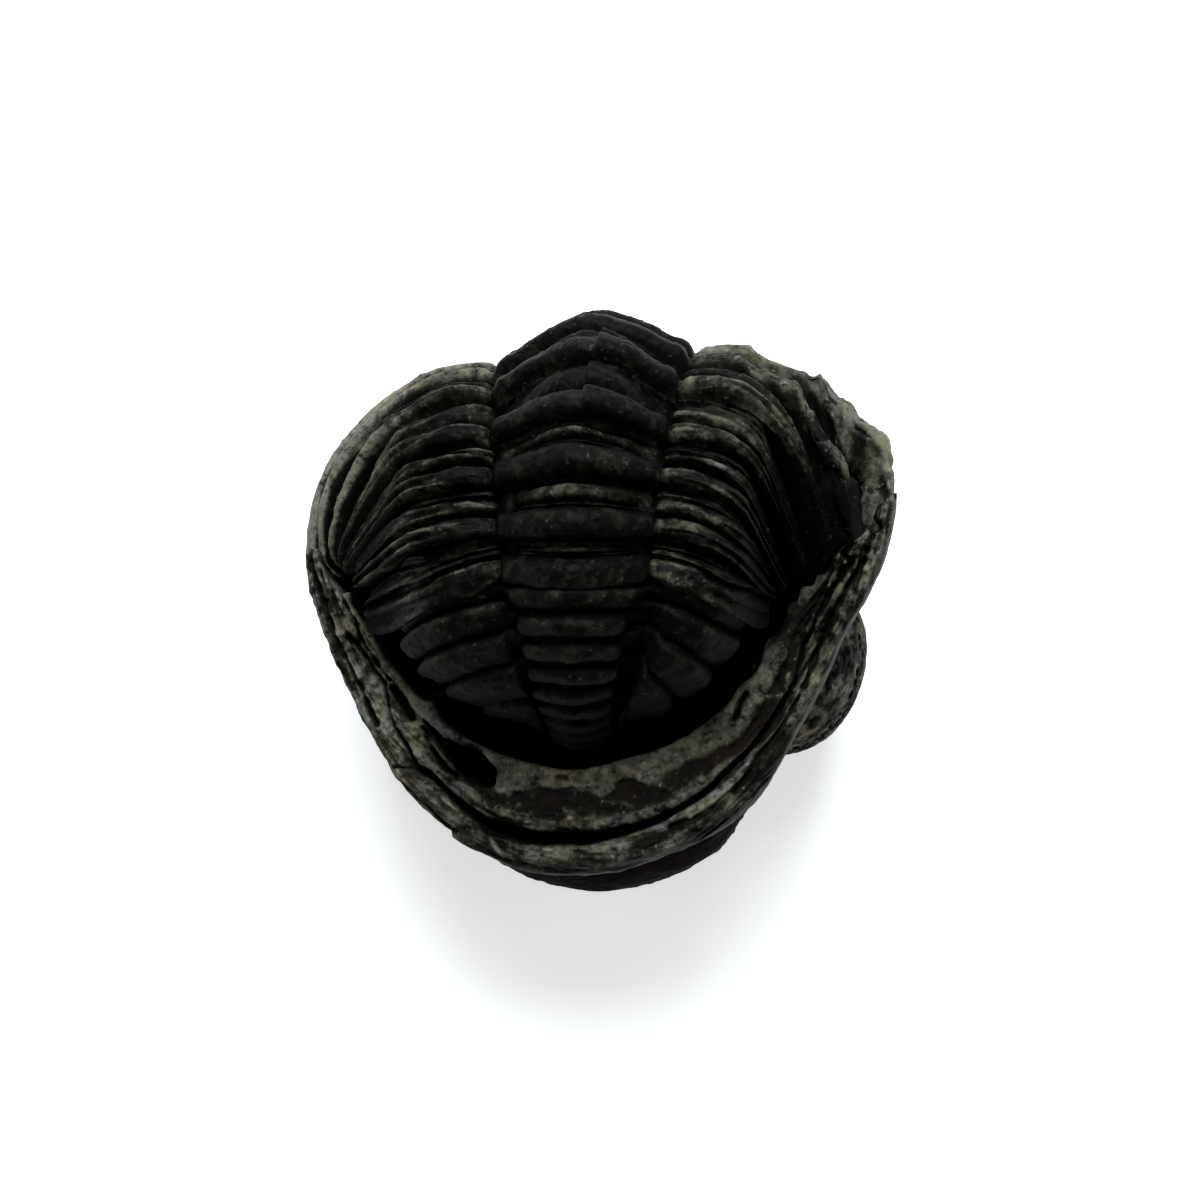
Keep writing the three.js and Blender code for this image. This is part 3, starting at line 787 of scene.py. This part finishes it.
def tail_relief(along, across, height):
    """Height of the tail's rings and ribs. The rings are rounded bands at whole phases. The
    ribs, four on each side, are highest in front and end in a rounded tip. Both fade
    towards the end, and a furrow runs on each side of the axis, the right one wider."""
    s, right = np.abs(across), past(across, 0, 0.02)
    out = past_axis(s)
    phase = tail_phase(along)
    step = from_crest(phase)
    ring = arch(step, 0, 0.42, 2.4) - 1 - 0.5 * step
    ring *= 1.6 * (1 - 0.75 * ease(phase, 2.5, 7))
    rib_phase = (along + out * mix(0.39 * (along - 0.098), -0.1, right) - 0.2) / 0.215
    rib_step = from_crest(rib_phase)
    rib = np.sqrt(unit(1 - np.abs(rib_step / 0.48) ** 4 - unit((out - 0.8) / 0.2) ** 2))
    rib = rib * (0.9 - 0.55 * rib_step) - 1
    rib *= 1.7 * (1 - 0.75 * ease(rib_phase, 0.8, 3))
    relief = mix(ring, rib, past(s, AXIS_SHARE, 0.01))
    wide = mix(0.02, 0.05, right)
    furrow = bell(s, AXIS_SHARE + wide * 0.7, wide) * ease(along, -0.1, 0.3)
    return height * relief - mix(1.1, 1.9, right) * furrow


def build_tail(sizes):
    """The tail shield as a closed grid: loops from its front to its end, each the ribbed top,
    a steep wall under the rib ends and a flat underside in the rock."""
    wall_height, steps = 4.2, 12
    along, across = column(0, 1, 320), row(-1, 1, 270)
    top = tail_top(sizes, along, across)
    foot = np.array([0.965, 0.985, 0])
    drop = row(0, 1, steps)[:, 1:, None]
    right, left = (mix(edge, edge * foot - [0, 0, wall_height], drop)
                   for edge in (top[:, -1:], top[:, :1]))
    floor = mix(right[:, -1:], left[:, -1:], row(0, 1, steps)[:, 1:-1, None])
    grid = np.concatenate([top, right, floor, left[:, ::-1]], axis=1)
    relief = tail_relief(along, across, sizes.rib_height)
    low_count = grid.shape[1] - relief.shape[1]
    push = extended(relief, [0] * low_count)
    push[:, -low_count:] += relief[:, -1:] * 0.6
    push += 0.14 * rough(grid, 1.5, 2, 301) + 0.07 * tubercles(grid, 0.6, 0.34, 305)
    grid = pushed(grid, push)
    worn = 0.08 * ease(push, -0.35, 0.05) + 0.1 * rough(grid, 1, 3, 311)
    # Painted shade: the pale colour fades out towards the end of the tail, which dives into shadow.
    add_piece("tail_shield", grid, worn * (1 - 0.8 * ease(along, 0.3, 0.8)), 0, "stone_deep")


class TRILOBITE_OT_tail(Operator):
    """Builds the tail shield"""

    bl_idname = "trilobite.tail"
    bl_label = "Tail shield"

    def execute(self, context):
        build_tail(in_mm(context.scene.trilobite_tail))
        return {"FINISHED"}


# ---- Head ----

# The rim, as (turn, share) pairs in thousandths: turns from the right genal angle by the front
# to the left one, and shares of the way from the opening to the plain outline. First come the
# inner and outer end of the rim, the foot of its lip, the middle of its furrow with half the
# furrow's width, and the top and foot of the hole.
RIM_INNER = (
    (0, 450), (60, 350), (80, 250), (100, 20), (115, -50), (135, -90), (145, -50), (162, -150),
    (170, -120), (185, -250), (200, -200), (210, -250), (220, -170), (235, -120), (255, -120),
    (260, -60), (275, 0), (290, -20), (310, 20), (360, 20), (400, -10), (420, -30), (500, -20),
    (560, -40), (620, -30), (670, -40), (690, -100), (700, -60), (750, -60), (790, -80),
    (840, -40), (862, -20), (873, -100), (882, 40), (893, 100), (920, 250), (1000, 400),
)
RIM_OUTER = (
    (0, 940), (50, 975), (80, 944), (100, 905), (120, 850), (140, 800), (154, 747), (180, 720),
    (200, 760), (220, 780), (240, 810), (266, 850), (300, 930), (380, 920), (400, 900),
    (430, 890), (470, 920), (520, 950), (550, 970), (600, 955), (625, 940), (640, 940),
    (700, 935), (715, 930), (730, 895), (750, 860), (770, 825), (800, 805), (830, 830),
    (850, 860), (870, 885), (890, 920), (910, 950), (925, 970), (940, 960), (950, 930),
    (965, 880), (975, 800), (985, 730), (1000, 680),
)
RIM_LIP = (
    (0, 500), (60, 400), (100, 120), (220, 100), (250, 220), (270, 290), (300, 380), (320, 360),
    (345, 330), (360, 290), (370, 260), (410, 260), (430, 140), (440, 140), (460, 230),
    (480, 220), (500, 160), (520, 170), (550, 220), (570, 280), (585, 330), (600, 100),
    (660, 100), (700, 120), (890, 140), (930, 350), (1000, 500),
)
RIM_FURROW = (
    (240, 450), (255, 470), (277, 510), (298, 530), (321, 540), (340, 550), (360, 560),
    (400, 565), (440, 580), (480, 600), (500, 610), (520, 630), (540, 640), (580, 660),
    (590, 680), (610, 640), (628, 630), (647, 590), (668, 570), (684, 600), (695, 560),
    (706, 520), (722, 470), (736, 410), (747, 330), (757, 250), (765, 210),
)
RIM_FURROW_HALF = (
    (240, 28), (360, 26), (420, 30), (480, 45), (540, 60), (570, 68), (590, 60), (605, 47),
    (660, 40), (700, 34), (765, 26),
)
HOLE_TOP = (
    (585, 160), (590, 120), (600, 70), (640, 90), (660, 120), (693, 100),
)
HOLE_FOOT = (
    (587, 250), (600, 330), (620, 345), (640, 320), (660, 260), (680, 180), (690, 130),
)
# Marks on the rim: half width and lift in millimetres, wear, stain, and the places in order.
RIM_MARKS = (
    (0.4, -1.8, -0.7, 0, ((52, 200), (60, 600))),
    (0.17, -1.1, -0.9, 0.4, ((99, 100), (114, 40), (116, 300), (129, 190), (143, 200), (159, 160),
        (169, 180), (181, 180), (199, 250), (214, 260), (224, 340), (233, 420), (240, 460))),
    (0.17, -0.8, -0.8, 0.9, ((49, 400), (71, 540), (98, 510), (124, 460), (144, 400), (161, 400),
        (177, 400), (189, 460), (203, 480), (218, 530), (229, 590), (241, 610))),
    (0.21, -0.6, -0.6, 1, ((241, 610), (252, 620), (267, 660), (282, 680), (294, 670), (308, 700),
        (330, 750))),
    (0.11, -0.4, -0.4, 0.4, ((129, -30), (163, 90), (190, 100), (215, 180))),
    (0.55, 0.6, 0.3, 0, ((83, 380),)),
    (0.55, 0.2, 0.3, 0, ((84, 600), (111, 790), (128, 760), (142, 770))),
    (0.38, -0.4, -0.6, 0.7, ((243, 220), (253, 270))),
    (0.28, 0.25, 0.4, 0, ((222, 260), (225, 300))),
    (0.5, -0.2, -0.5, 0.9, ((279, 360), (289, 400), (299, 420), (316, 420))),
    (0.5, -0.15, -0.3, 0.8, ((316, 420), (339, 360), (366, 290), (395, 250))),
    (0.18, -0.9, -0.7, 0, ((288, 90), (297, 110), (307, 190))),
    (0.24, -0.15, -0.4, 0.1, ((334, 140), (342, 120))),
    (0.14, -0.4, -0.4, 0, ((505, 55), (515, 55))),
    (0.5, -0.25, -0.2, 0.8, ((435, 210),)),
    (0.45, -0.25, -0.2, 0.7, ((527, 230),)),
    (0.45, -0.25, -0.2, 0.7, ((560, 300),)),
    (0.1, -0.12, 0.25, 0, ((495, 310), (525, 420))),
    (0.3, 0.3, 0.4, 0, ((340, 420), (342, 500))),
    (0.18, -0.5, -0.4, 0.3, ((385, 690), (405, 690))),
    (0.16, -0.7, -0.5, 0, ((635, 380), (650, 400), (665, 350), (680, 270), (690, 200))),
    (0.3, -1.9, -1.2, 0, ((709, 220), (722, 170), (734, 150), (748, 150))),
    (0.5, 0.35, 0.2, 0, ((700, 320), (710, 360), (730, 270))),
    (0.13, -0.7, -0.9, 0.3, ((756, 110), (772, 120), (795, 120), (819, 140), (843, 80),
        (871, 110))),
    (0.22, -1, -0.9, 0.3, ((762, 220), (771, 200), (786, 260), (805, 230), (823, 270),
        (842, 350))),
    (0.3, 0.3, 0.4, 0, ((800, 170), (815, 200))),
    (0.3, 0.3, 0.45, 0, ((828, 380),)),
    (0.26, 0.3, 0.4, 0, ((848, 420), (852, 360))),
    (0.3, 0.3, 0.4, 0, ((876, 420),)),
    (0.6, 0.35, 0.2, 0, ((760, 450), (775, 440))),
    (0.6, 0.35, 0.2, 0, ((800, 420),)),
    (0.13, -0.4, -0.6, 0.3, ((691, 670), (712, 840))),
    (0.2, 0.1, 0.5, 0, ((590, 780), (575, 900))),
    (0.8, -0.7, -0.3, 0.8, ((615, 800), (622, 840))),
    (0.18, -0.4, -0.5, 0.6, ((640, 900), (700, 890))),
    (0.16, -0.6, -0.8, 1, ((749, 670), (767, 640), (781, 580), (799, 560), (819, 570), (840, 590),
        (859, 610), (883, 620), (906, 600), (935, 670), (959, 800))),
)


def rim_line(turn, stops):
    """The smooth line along the rim through stops in thousandths."""
    return course(turn, np.array(stops) / 1000)


def rounded_u(half, back, reach, flare, nose, turn):
    """A rounded U from the right genal angle by the front to the left one: a superellipse
    with its own power for the width and for the length."""
    phi = turn * math.pi
    x = half * signed_power(np.cos(phi), 2 / flare)
    return x, back - reach * np.abs(np.sin(phi)) ** (2 / nose)


def rim_edges(sizes, turn):
    """The outline of the opening inside the rim, a little to the left of the middle, and the
    outline of the head shield, each as X and Y."""
    x, y = rounded_u(sizes.opening_half, 1, sizes.opening_long, 2, 1.2, turn)
    outer = rounded_u(sizes.half_width, sizes.back, sizes.long, 2.2, 1.5, turn)
    return (x - np.sin(turn * math.pi), y), outer


def rim_outline(turn):
    """The share at which the rim ends, with a sharp step where a flake has broken off."""
    step = ease(turn, 0.59, 0.625) * fall(turn, 0.6335, 0.6352)
    return rim_line(turn, RIM_OUTER) + 0.048 * step


def rim_place(sizes, turn, share):
    """The place on the rim at a turn and a share of the way from the opening to the outline."""
    inner, outer = rim_edges(sizes, turn)
    return tuple(mix(start, end, share) for start, end in zip(inner, outer))


def trail(sizes, x, y, stops):
    """The distance in millimetres from each point to a line through places on the rim."""
    px, py = rim_place(sizes, *(np.array(stops).T / 1000))
    best = np.full(x.shape, 1e6)
    for index in range(max(len(stops) - 1, 1)):
        after = min(index + 1, len(stops) - 1)
        step_x, step_y = px[after] - px[index], py[after] - py[index]
        size = max(step_x ** 2 + step_y ** 2, 1e-9)
        from_x, from_y = x - px[index], y - py[index]
        t = unit((from_x * step_x + from_y * step_y) / size)
        best = np.minimum(best, (from_x - step_x * t) ** 2 + (from_y - step_y * t) ** 2)
    return np.sqrt(best)


def rounded_edge(gap, radius):
    """How far a rounded edge has dropped, in radii, at a gap from its end: 1 - sqrt(1 - t^2)."""
    t = unit(1 - gap / radius)
    return 1 - np.sqrt(1 - 0.999 * t ** 2)


def rim_height(sizes, turn, v, x, y):
    """Height, wear and stain of the rim: a lip that rises from the opening, a convex brown
    band, a strip of grains, the vincular furrow, a ledge and a border with tubercles, then
    the cracks, hollows and broken places one by one."""
    start, end = rim_line(turn, RIM_INNER), rim_outline(turn)
    (in_x, in_y), (out_x, out_y) = rim_edges(sizes, turn)
    broad = np.hypot(out_x - in_x, out_y - in_y)
    flat = stack(x, y, 0)
    fleck, grit = rough(flat, 0.8, 3, 423), rough(flat, 0.42, 2, 425)
    stone = 0.5 + 0.5 * rough(flat, 2.4, 3, 415)
    layer = rough(stack(turn * 26, v * 11, 0), 1, 3, 419)
    wave = lumps(flat, 2.2, 405)
    wobble = 0.012 * wave
    front, left = stretch(turn, 0.25, 0.70, 0.03), ease(turn, 0.66, 0.70)
    centre = stretch(turn, 0.30, 0.585, 0.02)

    low = rim_line(turn, RIM_LIP) + wobble
    lip = fall(v + 0.03 * fleck, low - 0.035, low + 0.03)
    rise = unit((v - start) / np.maximum(low - start, 0.03))
    height = lip * (0.15 + 0.35 * rise) * mix(0.5, 1, front)
    convex = arch(v, mix(0.33, 0.37, front), 0.2, 2.2) * (1 - lip)
    height += 0.55 * centre * convex + 0.15 * (1 - centre)
    brown = (1 - lip) * stretch(turn, 0.22, 0.60, 0.02) * fall(v, 0.42, 0.46)

    granular = stretch(v + 0.02 * fleck, 0.425, 0.53, 0.02) * stretch(turn, 0.33, 0.60, 0.03)
    height += granular * (0.12 + 0.28 * tubercles(flat, 0.62, 0.6, 407))
    ditch_at = rim_line(turn, RIM_FURROW) + wobble
    ditch_wide = rim_line(turn, RIM_FURROW_HALF)
    ditch = stretch(turn, 0.247, 0.765, 0.012) * fall(
        np.abs(v - ditch_at), ditch_wide * 0.45, ditch_wide * 1.35)
    height -= ditch * (0.9 + 22 * ditch_wide)

    ledge = stretch(turn, 0.25, 0.383, 0.006) * stretch(v, 0.605, 0.70, 0.01)
    outer = ease(v, 0.66, 0.70)
    beads = stretch(turn, 0.36, 0.56, 0.02) * stretch(v, 0.775, 0.87, 0.015)
    layers = stretch(turn, 0.27, 0.40, 0.03) * stretch(v, 0.82, 0.96, 0.02)
    block = stretch(turn, 0.628, 0.708, 0.003) * stretch(v, 0.66 + 0.8 * wobble, 0.875, 0.012)
    height += 0.3 * ledge + 0.35 * outer * arch(v, 0.76, 0.12, 2.2)
    height += 0.45 * beads * tubercles(flat, 0.95, 0.62, 409)
    height += 0.12 * layers * np.sin(v * 165 + 2 * wave)
    height += block * (0.25 + 0.15 * rough(flat, 1.3, 3, 413))

    folds = stretch(turn, 0.05, 0.19, 0.02) * bell(v, 0.6, 0.11) * np.sin(turn * 390 + 3 * v)
    ribs = stretch(turn, 0.82, 0.97, 0.02) * bell(v, 0.83, 0.12) * np.sin(turn * 520 + 8 * v)
    top, foot = rim_line(turn, HOLE_TOP), rim_line(turn, HOLE_FOOT)
    hole = stretch(turn, 0.589, 0.691, 0.0025) * past(v, top, 0.012) * (1 - past(v, foot, 0.02))
    height += 0.15 * folds + 0.06 * ribs - 4.6 * hole
    loose = (1 - 0.75 * lip) * (1 - granular) * (1 - 0.85 * brown)
    sides = (1 - stretch(turn, 0.22, 0.68, 0.04)) * loose * tubercles(flat, 0.75, 0.6, 421)
    height += 0.26 * layer * loose + 0.12 * brown * fleck + 0.28 * sides

    worn = 0.17 + 0.26 * stone + 0.15 * left + 0.16 * stretch(turn, 0.68, 0.82, 0.03)
    worn += lip * (0.26 * front + 0.12 * stretch(turn, 0.33, 0.425, 0.012))
    worn += 0.22 * lip * left * fall(turn, 0.90, 0.93) - 0.10 * fall(turn, 0.18, 0.26)
    worn -= 0.18 * stretch(v, 0.7, 1.2, 0.02) * stretch(turn, 0.26, 0.60, 0.02)
    worn += 0.12 * granular + 0.16 * ledge + 0.3 * block + 0.02 * outer
    worn += 0.14 * folds + 0.12 * ribs + (0.34 * layer + 0.1 * sides) * loose
    worn += brown * (0.25 * fleck + 0.2 * grit + 0.2 * ease(v, 0.35, 0.44) - 0.33)
    worn -= 0.9 * ditch + 1.5 * hole
    stain = brown * (0.55 + 0.4 * stone - 0.3 * fleck - 0.4 * grit) + 0.25 * ditch
    stain -= 0.9 * np.minimum(layer, 0) * loose

    jitter = 0.1 * rough(flat, 0.9, 2, 417)
    for width, lift, wear, tone, stops in RIM_MARKS:
        line = bell(np.maximum(trail(sizes, x, y, stops) + jitter, 0), 0, width)
        height += lift * line
        worn += wear * line
        stain += tone * line
    height -= 0.3 * rounded_edge((v - start) * broad, 0.3)
    height -= 0.9 * rounded_edge((end - v) * broad, 0.9)
    height -= 2.2 * fall(turn, 0, 0.03) + 2.2 * ease(turn, 0.96, 1)
    return np.maximum(height, -5), worn, stain


def build_rim(sizes):
    """The rim as a closed grid: loops round the rounded U, each the modelled top from the
    opening to the outline, the outer wall, the seat and the inner wall."""
    stations, top_count = 800, 110
    turn = column(0, 1, stations)
    start, end = rim_line(turn, RIM_INNER), rim_outline(turn)
    v = mix(start, end, row(0, 1, top_count))
    x, y = rim_place(sizes, turn, v)
    height, worn, stain = rim_height(sizes, turn, v, x, y)
    seat = -sizes.rim_thickness
    under = (0.012, 0.018, 0.015, 0.01, -0.02, -0.15, -0.35, -0.55, -0.7, -0.8)
    wall = (0.045, 0.03, 0.02, 0.008)
    low_v = np.concatenate([np.maximum(end + np.array(under), start + 0.01),
                            start + np.array(wall)], axis=1)
    low_height = (-1.5, -2.0, -2.6, -3.2, *[seat] * 6, seat + 0.15, -2.8, -1.9, -0.9)
    low_x, low_y = rim_place(sizes, turn, low_v)
    grid = stack(np.concatenate([x, low_x], axis=1), np.concatenate([y, low_y], axis=1),
                 sizes.rim_top + extended(height, low_height))
    grid = pushed(grid, 0.05 * rough(grid, 0.9, 3, 431))
    worn = extended(worn, [0.3] * len(low_height)) + 0.16 * rough(grid, 1.6, 4, 441)
    add_piece("head_rim", grid, worn, extended(stain, [0] * len(low_height)), "stone_worn")


def build_cheeks(sizes):
    """The cheeks: a bowl inside the opening, a seat under the rim, and a dome below it whose
    outline shrinks as cos^0.62 while it falls as sin^1.05."""
    turn = circle(420, 2)
    front = turn <= 1
    folded = np.where(front, turn, 2 - turn)
    x, y = rim_place(sizes, folded, rim_line(folded, RIM_OUTER) - 0.02)
    in_x, in_y = rim_place(sizes, folded, rim_line(folded, RIM_INNER) + 0.05)
    middle, back_limit, bowl_height, ledge_height = -9, 1.2, -4, -3.6
    y = np.where(front, y, mix(sizes.back, back_limit, np.sin((turn - 1) * math.pi)))
    in_y = np.where(front, in_y, 0.4)
    share = column(0.02, 1, 16)
    floor = stack(in_x * share, mix(middle, in_y, share), bowl_height)
    seat = column(0.1, 0.9, 8)
    ledge_y = np.minimum(mix(in_y, y, seat), back_limit)
    ledge = stack(mix(in_x, x * 0.97, seat), ledge_y, ledge_height)
    rise = column(0, 0.985, 210) * math.pi / 2
    shrink = np.cos(rise) ** 0.62
    dome_y = np.minimum(mix(middle, y, np.where(front, shrink, 1)), back_limit)
    dome = stack(x * 0.99 * shrink, dome_y, 0.2 - sizes.depth * np.sin(rise) ** 1.05)
    grid = np.concatenate([floor, ledge, dome])
    outside = np.arange(len(grid))[:, None] >= len(grid) - len(dome)
    push = 0.2 * rough(grid, 3, 3, 501) + 0.12 * tubercles(grid, 0.8, 0.55, 511)
    grid = pushed(grid, push * outside)
    worn = 0.35 + 0.2 * rough(grid, 3, 3, 521)
    add_piece("cheeks", grid, worn * outside, 0, "stone_worn")


def build_glabella(sizes):
    """The glabella: superellipse sections that widen from the neck to a broad round front,
    covered with tubercles, and cut by a furrow near its back."""
    back, nose, top, bottom, shoulder = 0.5, -27.6, -18.8, 0.5, 0.64
    run = (1 - np.cos(column(0.004, 0.996, 330) * math.pi)) / 2
    around = circle(260)
    forward, backward = unit((run - shoulder) / (1 - shoulder)), unit(1 - run / 0.12)
    wide = mix(sizes.glabella_neck, sizes.glabella_half, np.minimum(run / shoulder, 1))
    wide = wide * np.sqrt(np.maximum(1 - forward ** 2 - backward ** 2, 0))
    deep = (bottom - top) / 2 * np.maximum(1 - (2 * run - 1) ** 2, 0) ** 0.31
    y = mix(back, nose, run)
    z = (top + bottom) / 2 + signed_power(np.sin(around), 0.85) * deep
    ceiling = mix(-4.5, bottom, ease(-y, 18.5, 20.5))
    grid = stack(signed_power(np.cos(around), 0.85) * wide, y, np.minimum(z, ceiling))
    upper, smooth = ease(grid[..., 2], -9, -3), ease(grid[..., 2], -14, -8)
    push = mix(0.18, 0.04, smooth) * tubercles(grid, 0.9, 0.42, 601)
    push += 0.16 * rough(grid, 2.4, 3, 611) - 0.2 - 0.7 * bell(grid[..., 1], -2.8, 0.5)
    grid = pushed(grid, push)
    worn = 0.12 * ease(push, -0.1, 0.15) + 0.3 * rough(grid, 1.4, 4, 621) - 0.1 - 0.07 * upper
    stain = 0.85 * upper * (1 - 0.6 * rough(grid, 1, 3, 631))
    add_piece("glabella", grid, worn, stain, "stone_front")


def lens_gaps(u, w):
    """The distance, in pitches, to the nearest point of a hexagonal net: rows lie 0.866 apart,
    and every second row is moved by half a pitch."""
    row_pitch = 0.866
    nearest = np.full(np.broadcast_shapes(u.shape, w.shape), 9.0)
    for step in (-1, 0, 1):
        line = np.round(w / row_pitch) + step
        offset = 0.5 * (np.abs(line) % 2)
        across = u - np.round(u - offset) - offset
        nearest = np.minimum(nearest, across ** 2 + (w - line * row_pitch) ** 2)
    return np.sqrt(nearest)


def build_eye(name, sizes, side):
    """An eye: a squat barrel, its girth falling as cos^0.55 towards the lid. The lenses are
    round pits on a hexagonal net over its outer side, each inside a raised edge."""
    centre_x, centre_y, centre_z = 14.1, -10.2, -10.6
    wide, long, high = sizes.eye_width, sizes.eye_long, sizes.eye_high
    tilt = (column(0.004, 0.996, 220) - 0.5) * math.pi
    phi = circle(300)
    girth, height = np.cos(tilt) ** 0.55, -high * np.sin(tilt)
    grid = stack(side * (centre_x + wide * girth * np.cos(phi)),
                 centre_y + long * girth * np.sin(phi), centre_z + height)
    turned = (phi + math.pi) % (2 * math.pi) - math.pi
    gap = lens_gaps(turned * (wide + long) / 2 / sizes.lens_pitch, height / sizes.lens_pitch)
    pit = 0.08 * bell(gap, 0.46, 0.07) - 0.34 * ease(0.42 - gap, 0, 0.2)
    field_half, field_turn = 3.9, 2.2
    field = ease(field_half - np.abs(height + 0.6), 0, 0.5)
    field = field * ease(field_turn - np.abs(turned), 0, 0.3)
    push = pit * field + 0.05 * rough(grid, 1.2, 3, 701 + side)
    push += 0.2 * tubercles(grid, 0.9, 0.6, 711) * (1 - field)
    grid = pushed(grid, push)
    worn = 0.4 + 0.8 * rough(grid, 0.9, 4, 721) - 0.8 * field * ease(0.40 - gap, 0, 0.15)
    add_piece(name, grid, worn, 0, "stone_worn")


class TRILOBITE_OT_rim(Operator):
    """Builds the rim of the head shield"""

    bl_idname = "trilobite.rim"
    bl_label = "Head rim"

    def execute(self, context):
        build_rim(in_mm(context.scene.trilobite_head))
        return {"FINISHED"}


class TRILOBITE_OT_head(Operator):
    """Builds the cheeks and the glabella"""

    bl_idname = "trilobite.head"
    bl_label = "Cheeks and glabella"

    def execute(self, context):
        sizes = in_mm(context.scene.trilobite_head)
        build_cheeks(sizes)
        build_glabella(sizes)
        return {"FINISHED"}


class TRILOBITE_OT_eyes(Operator):
    """Builds the two eyes with their lenses"""

    bl_idname = "trilobite.eyes"
    bl_label = "Eyes"

    def execute(self, context):
        sizes = in_mm(context.scene.trilobite_head)
        build_eye("eye_left", sizes, -1)
        build_eye("eye_right", sizes, 1)
        return {"FINISHED"}


# ---- Rock inside ----

def build_rock(sizes):
    """The rock under the segments as a closed grid: loops round the roll, each a hoop sunk
    below the segments and two straight sides that meet on the hinge line."""
    along, across = column(0, 1, 90), row(-0.97, 0.97, 160)
    sunk = 4.3
    angle = mix(OCCIPITAL_ANGLE - 4, RING_ANGLES[-1] + 2, along)
    skin = over_hoop(sizes, mix(0, len(RING_ANGLES), along), angle, across, -sunk)
    hinge = np.broadcast_to((0, HINGE_Y, HINGE_Z), (len(along), 1, 3))
    share = row(0, 1, 8)[:, 1:-1, None]
    sides = mix(skin[:, -1:], hinge, share), mix(hinge, skin[:, :1], share)
    grid = np.concatenate([skin, sides[0], hinge, sides[1]], axis=1)
    add_piece("rock_filling", grid, 0, 0, "stone_rock")


class TRILOBITE_OT_rock(Operator):
    """Builds the rock that fills the roll under the segments"""

    bl_idname = "trilobite.rock"
    bl_label = "Rock filling"

    def execute(self, context):
        build_rock(in_mm(context.scene.trilobite_thorax))
        return {"FINISHED"}


# ---- Stage ----

def add_object(name, data):
    """A new object of the given data, linked to the scene."""
    made = bpy.data.objects.new(name, data)
    bpy.context.scene.collection.objects.link(made)
    return made


def build_floor(colour, glow):
    """A large square floor that gives off a little light of its own."""
    mesh = bpy.data.meshes.new("floor")
    corners = [(x * FLOOR_HALF, y * FLOOR_HALF, 0) for x, y in ((-1, -1), (1, -1), (1, 1), (-1, 1))]
    mesh.from_pydata(corners, [], [(0, 1, 2, 3)])
    floor = add_object("floor", mesh)
    paint = bpy.data.materials.new("floor_paint")
    paint.use_nodes = True
    shader = paint.node_tree.nodes["Principled BSDF"]
    shader.inputs["Base Color"].default_value = (*colour, 1.0)
    shader.inputs["Roughness"].default_value = 0.9
    shader.inputs["Emission Color"].default_value = (1.0, 1.0, 1.0, 1.0)
    shader.inputs["Emission Strength"].default_value = glow
    mesh.materials.append(paint)


def build_light(name, place, size, power, colour):
    """A square area light at a place in metres, facing the stone."""
    data = bpy.data.lights.new(name, "AREA")
    data.shape = "SQUARE"
    data.size = size
    data.energy = power
    data.color = colour
    light = add_object(name, data)
    light.location = place
    aim = Vector(LIGHT_AIM) - Vector(place)
    light.rotation_euler = aim.to_track_quat("-Z", "Y").to_euler()


class TRILOBITE_OT_stage(Operator):
    """Builds the floor, the lights and the camera"""

    bl_idname = "trilobite.stage"
    bl_label = "Stage"

    def execute(self, context):
        scene, stage = context.scene, context.scene.trilobite_stage
        build_floor(stage.floor, stage.glow)
        world = bpy.data.worlds.new("surroundings")
        world.use_nodes = True
        back = world.node_tree.nodes["Background"]
        back.inputs["Color"].default_value = (1.0, 1.0, 1.0, 1.0)
        back.inputs["Strength"].default_value = stage.sky
        scene.world = world
        for name, (place, size, power, colour) in LIGHTS.items():
            build_light(name, place, size, getattr(stage, power), colour)
        data = bpy.data.cameras.new("camera")
        data.lens = stage.lens
        data.sensor_width = SENSOR_WIDTH
        data.clip_start, data.clip_end = 0.01, 20.0
        scene.camera = add_object("camera", data)
        scene.camera.location = (*CAMERA_PLACE, stage.camera_height)
        scene.view_settings.view_transform = "Standard"
        return {"FINISHED"}


# ---- Sidebar ----

GROUPS = {
    "trilobite_thorax": TrilobiteThorax,
    "trilobite_head": TrilobiteHead,
    "trilobite_tail": TrilobiteTail,
    "trilobite_finish": TrilobiteFinish,
    "trilobite_stage": TrilobiteStage,
}
OPERATORS = (TRILOBITE_OT_thorax, TRILOBITE_OT_tail, TRILOBITE_OT_rim, TRILOBITE_OT_head,
             TRILOBITE_OT_eyes, TRILOBITE_OT_rock, TRILOBITE_OT_stage)


class TRILOBITE_PT_sidebar(Panel):
    """The sizes, the finishes and the steps of the build"""

    bl_idname = "TRILOBITE_PT_sidebar"
    bl_label = "Rolled trilobite"
    bl_space_type = "VIEW_3D"
    bl_region_type = "UI"
    bl_category = "Trilobite"

    def draw(self, context):
        for group, kind in GROUPS.items():
            box = self.layout.box()
            for name in kind.__annotations__:
                box.prop(getattr(context.scene, group), name)
        for operator in OPERATORS:
            self.layout.operator(operator.bl_idname)


CLASSES = (*GROUPS.values(), *OPERATORS, TRILOBITE_PT_sidebar)


def register():
    """Registers every class and hangs the settings on the scene."""
    for kind in CLASSES:
        bpy.utils.register_class(kind)
    for name, group in GROUPS.items():
        setattr(bpy.types.Scene, name, PointerProperty(type=group))


def unregister():
    """Undoes register, in the opposite order."""
    for name in GROUPS:
        delattr(bpy.types.Scene, name)
    for kind in reversed(CLASSES):
        bpy.utils.unregister_class(kind)


def main():
    """Builds every piece in order."""
    register()
    for operator in OPERATORS:
        family, step = operator.bl_idname.split(".")
        getattr(getattr(bpy.ops, family), step)()


if __name__ == "__main__":
    main()
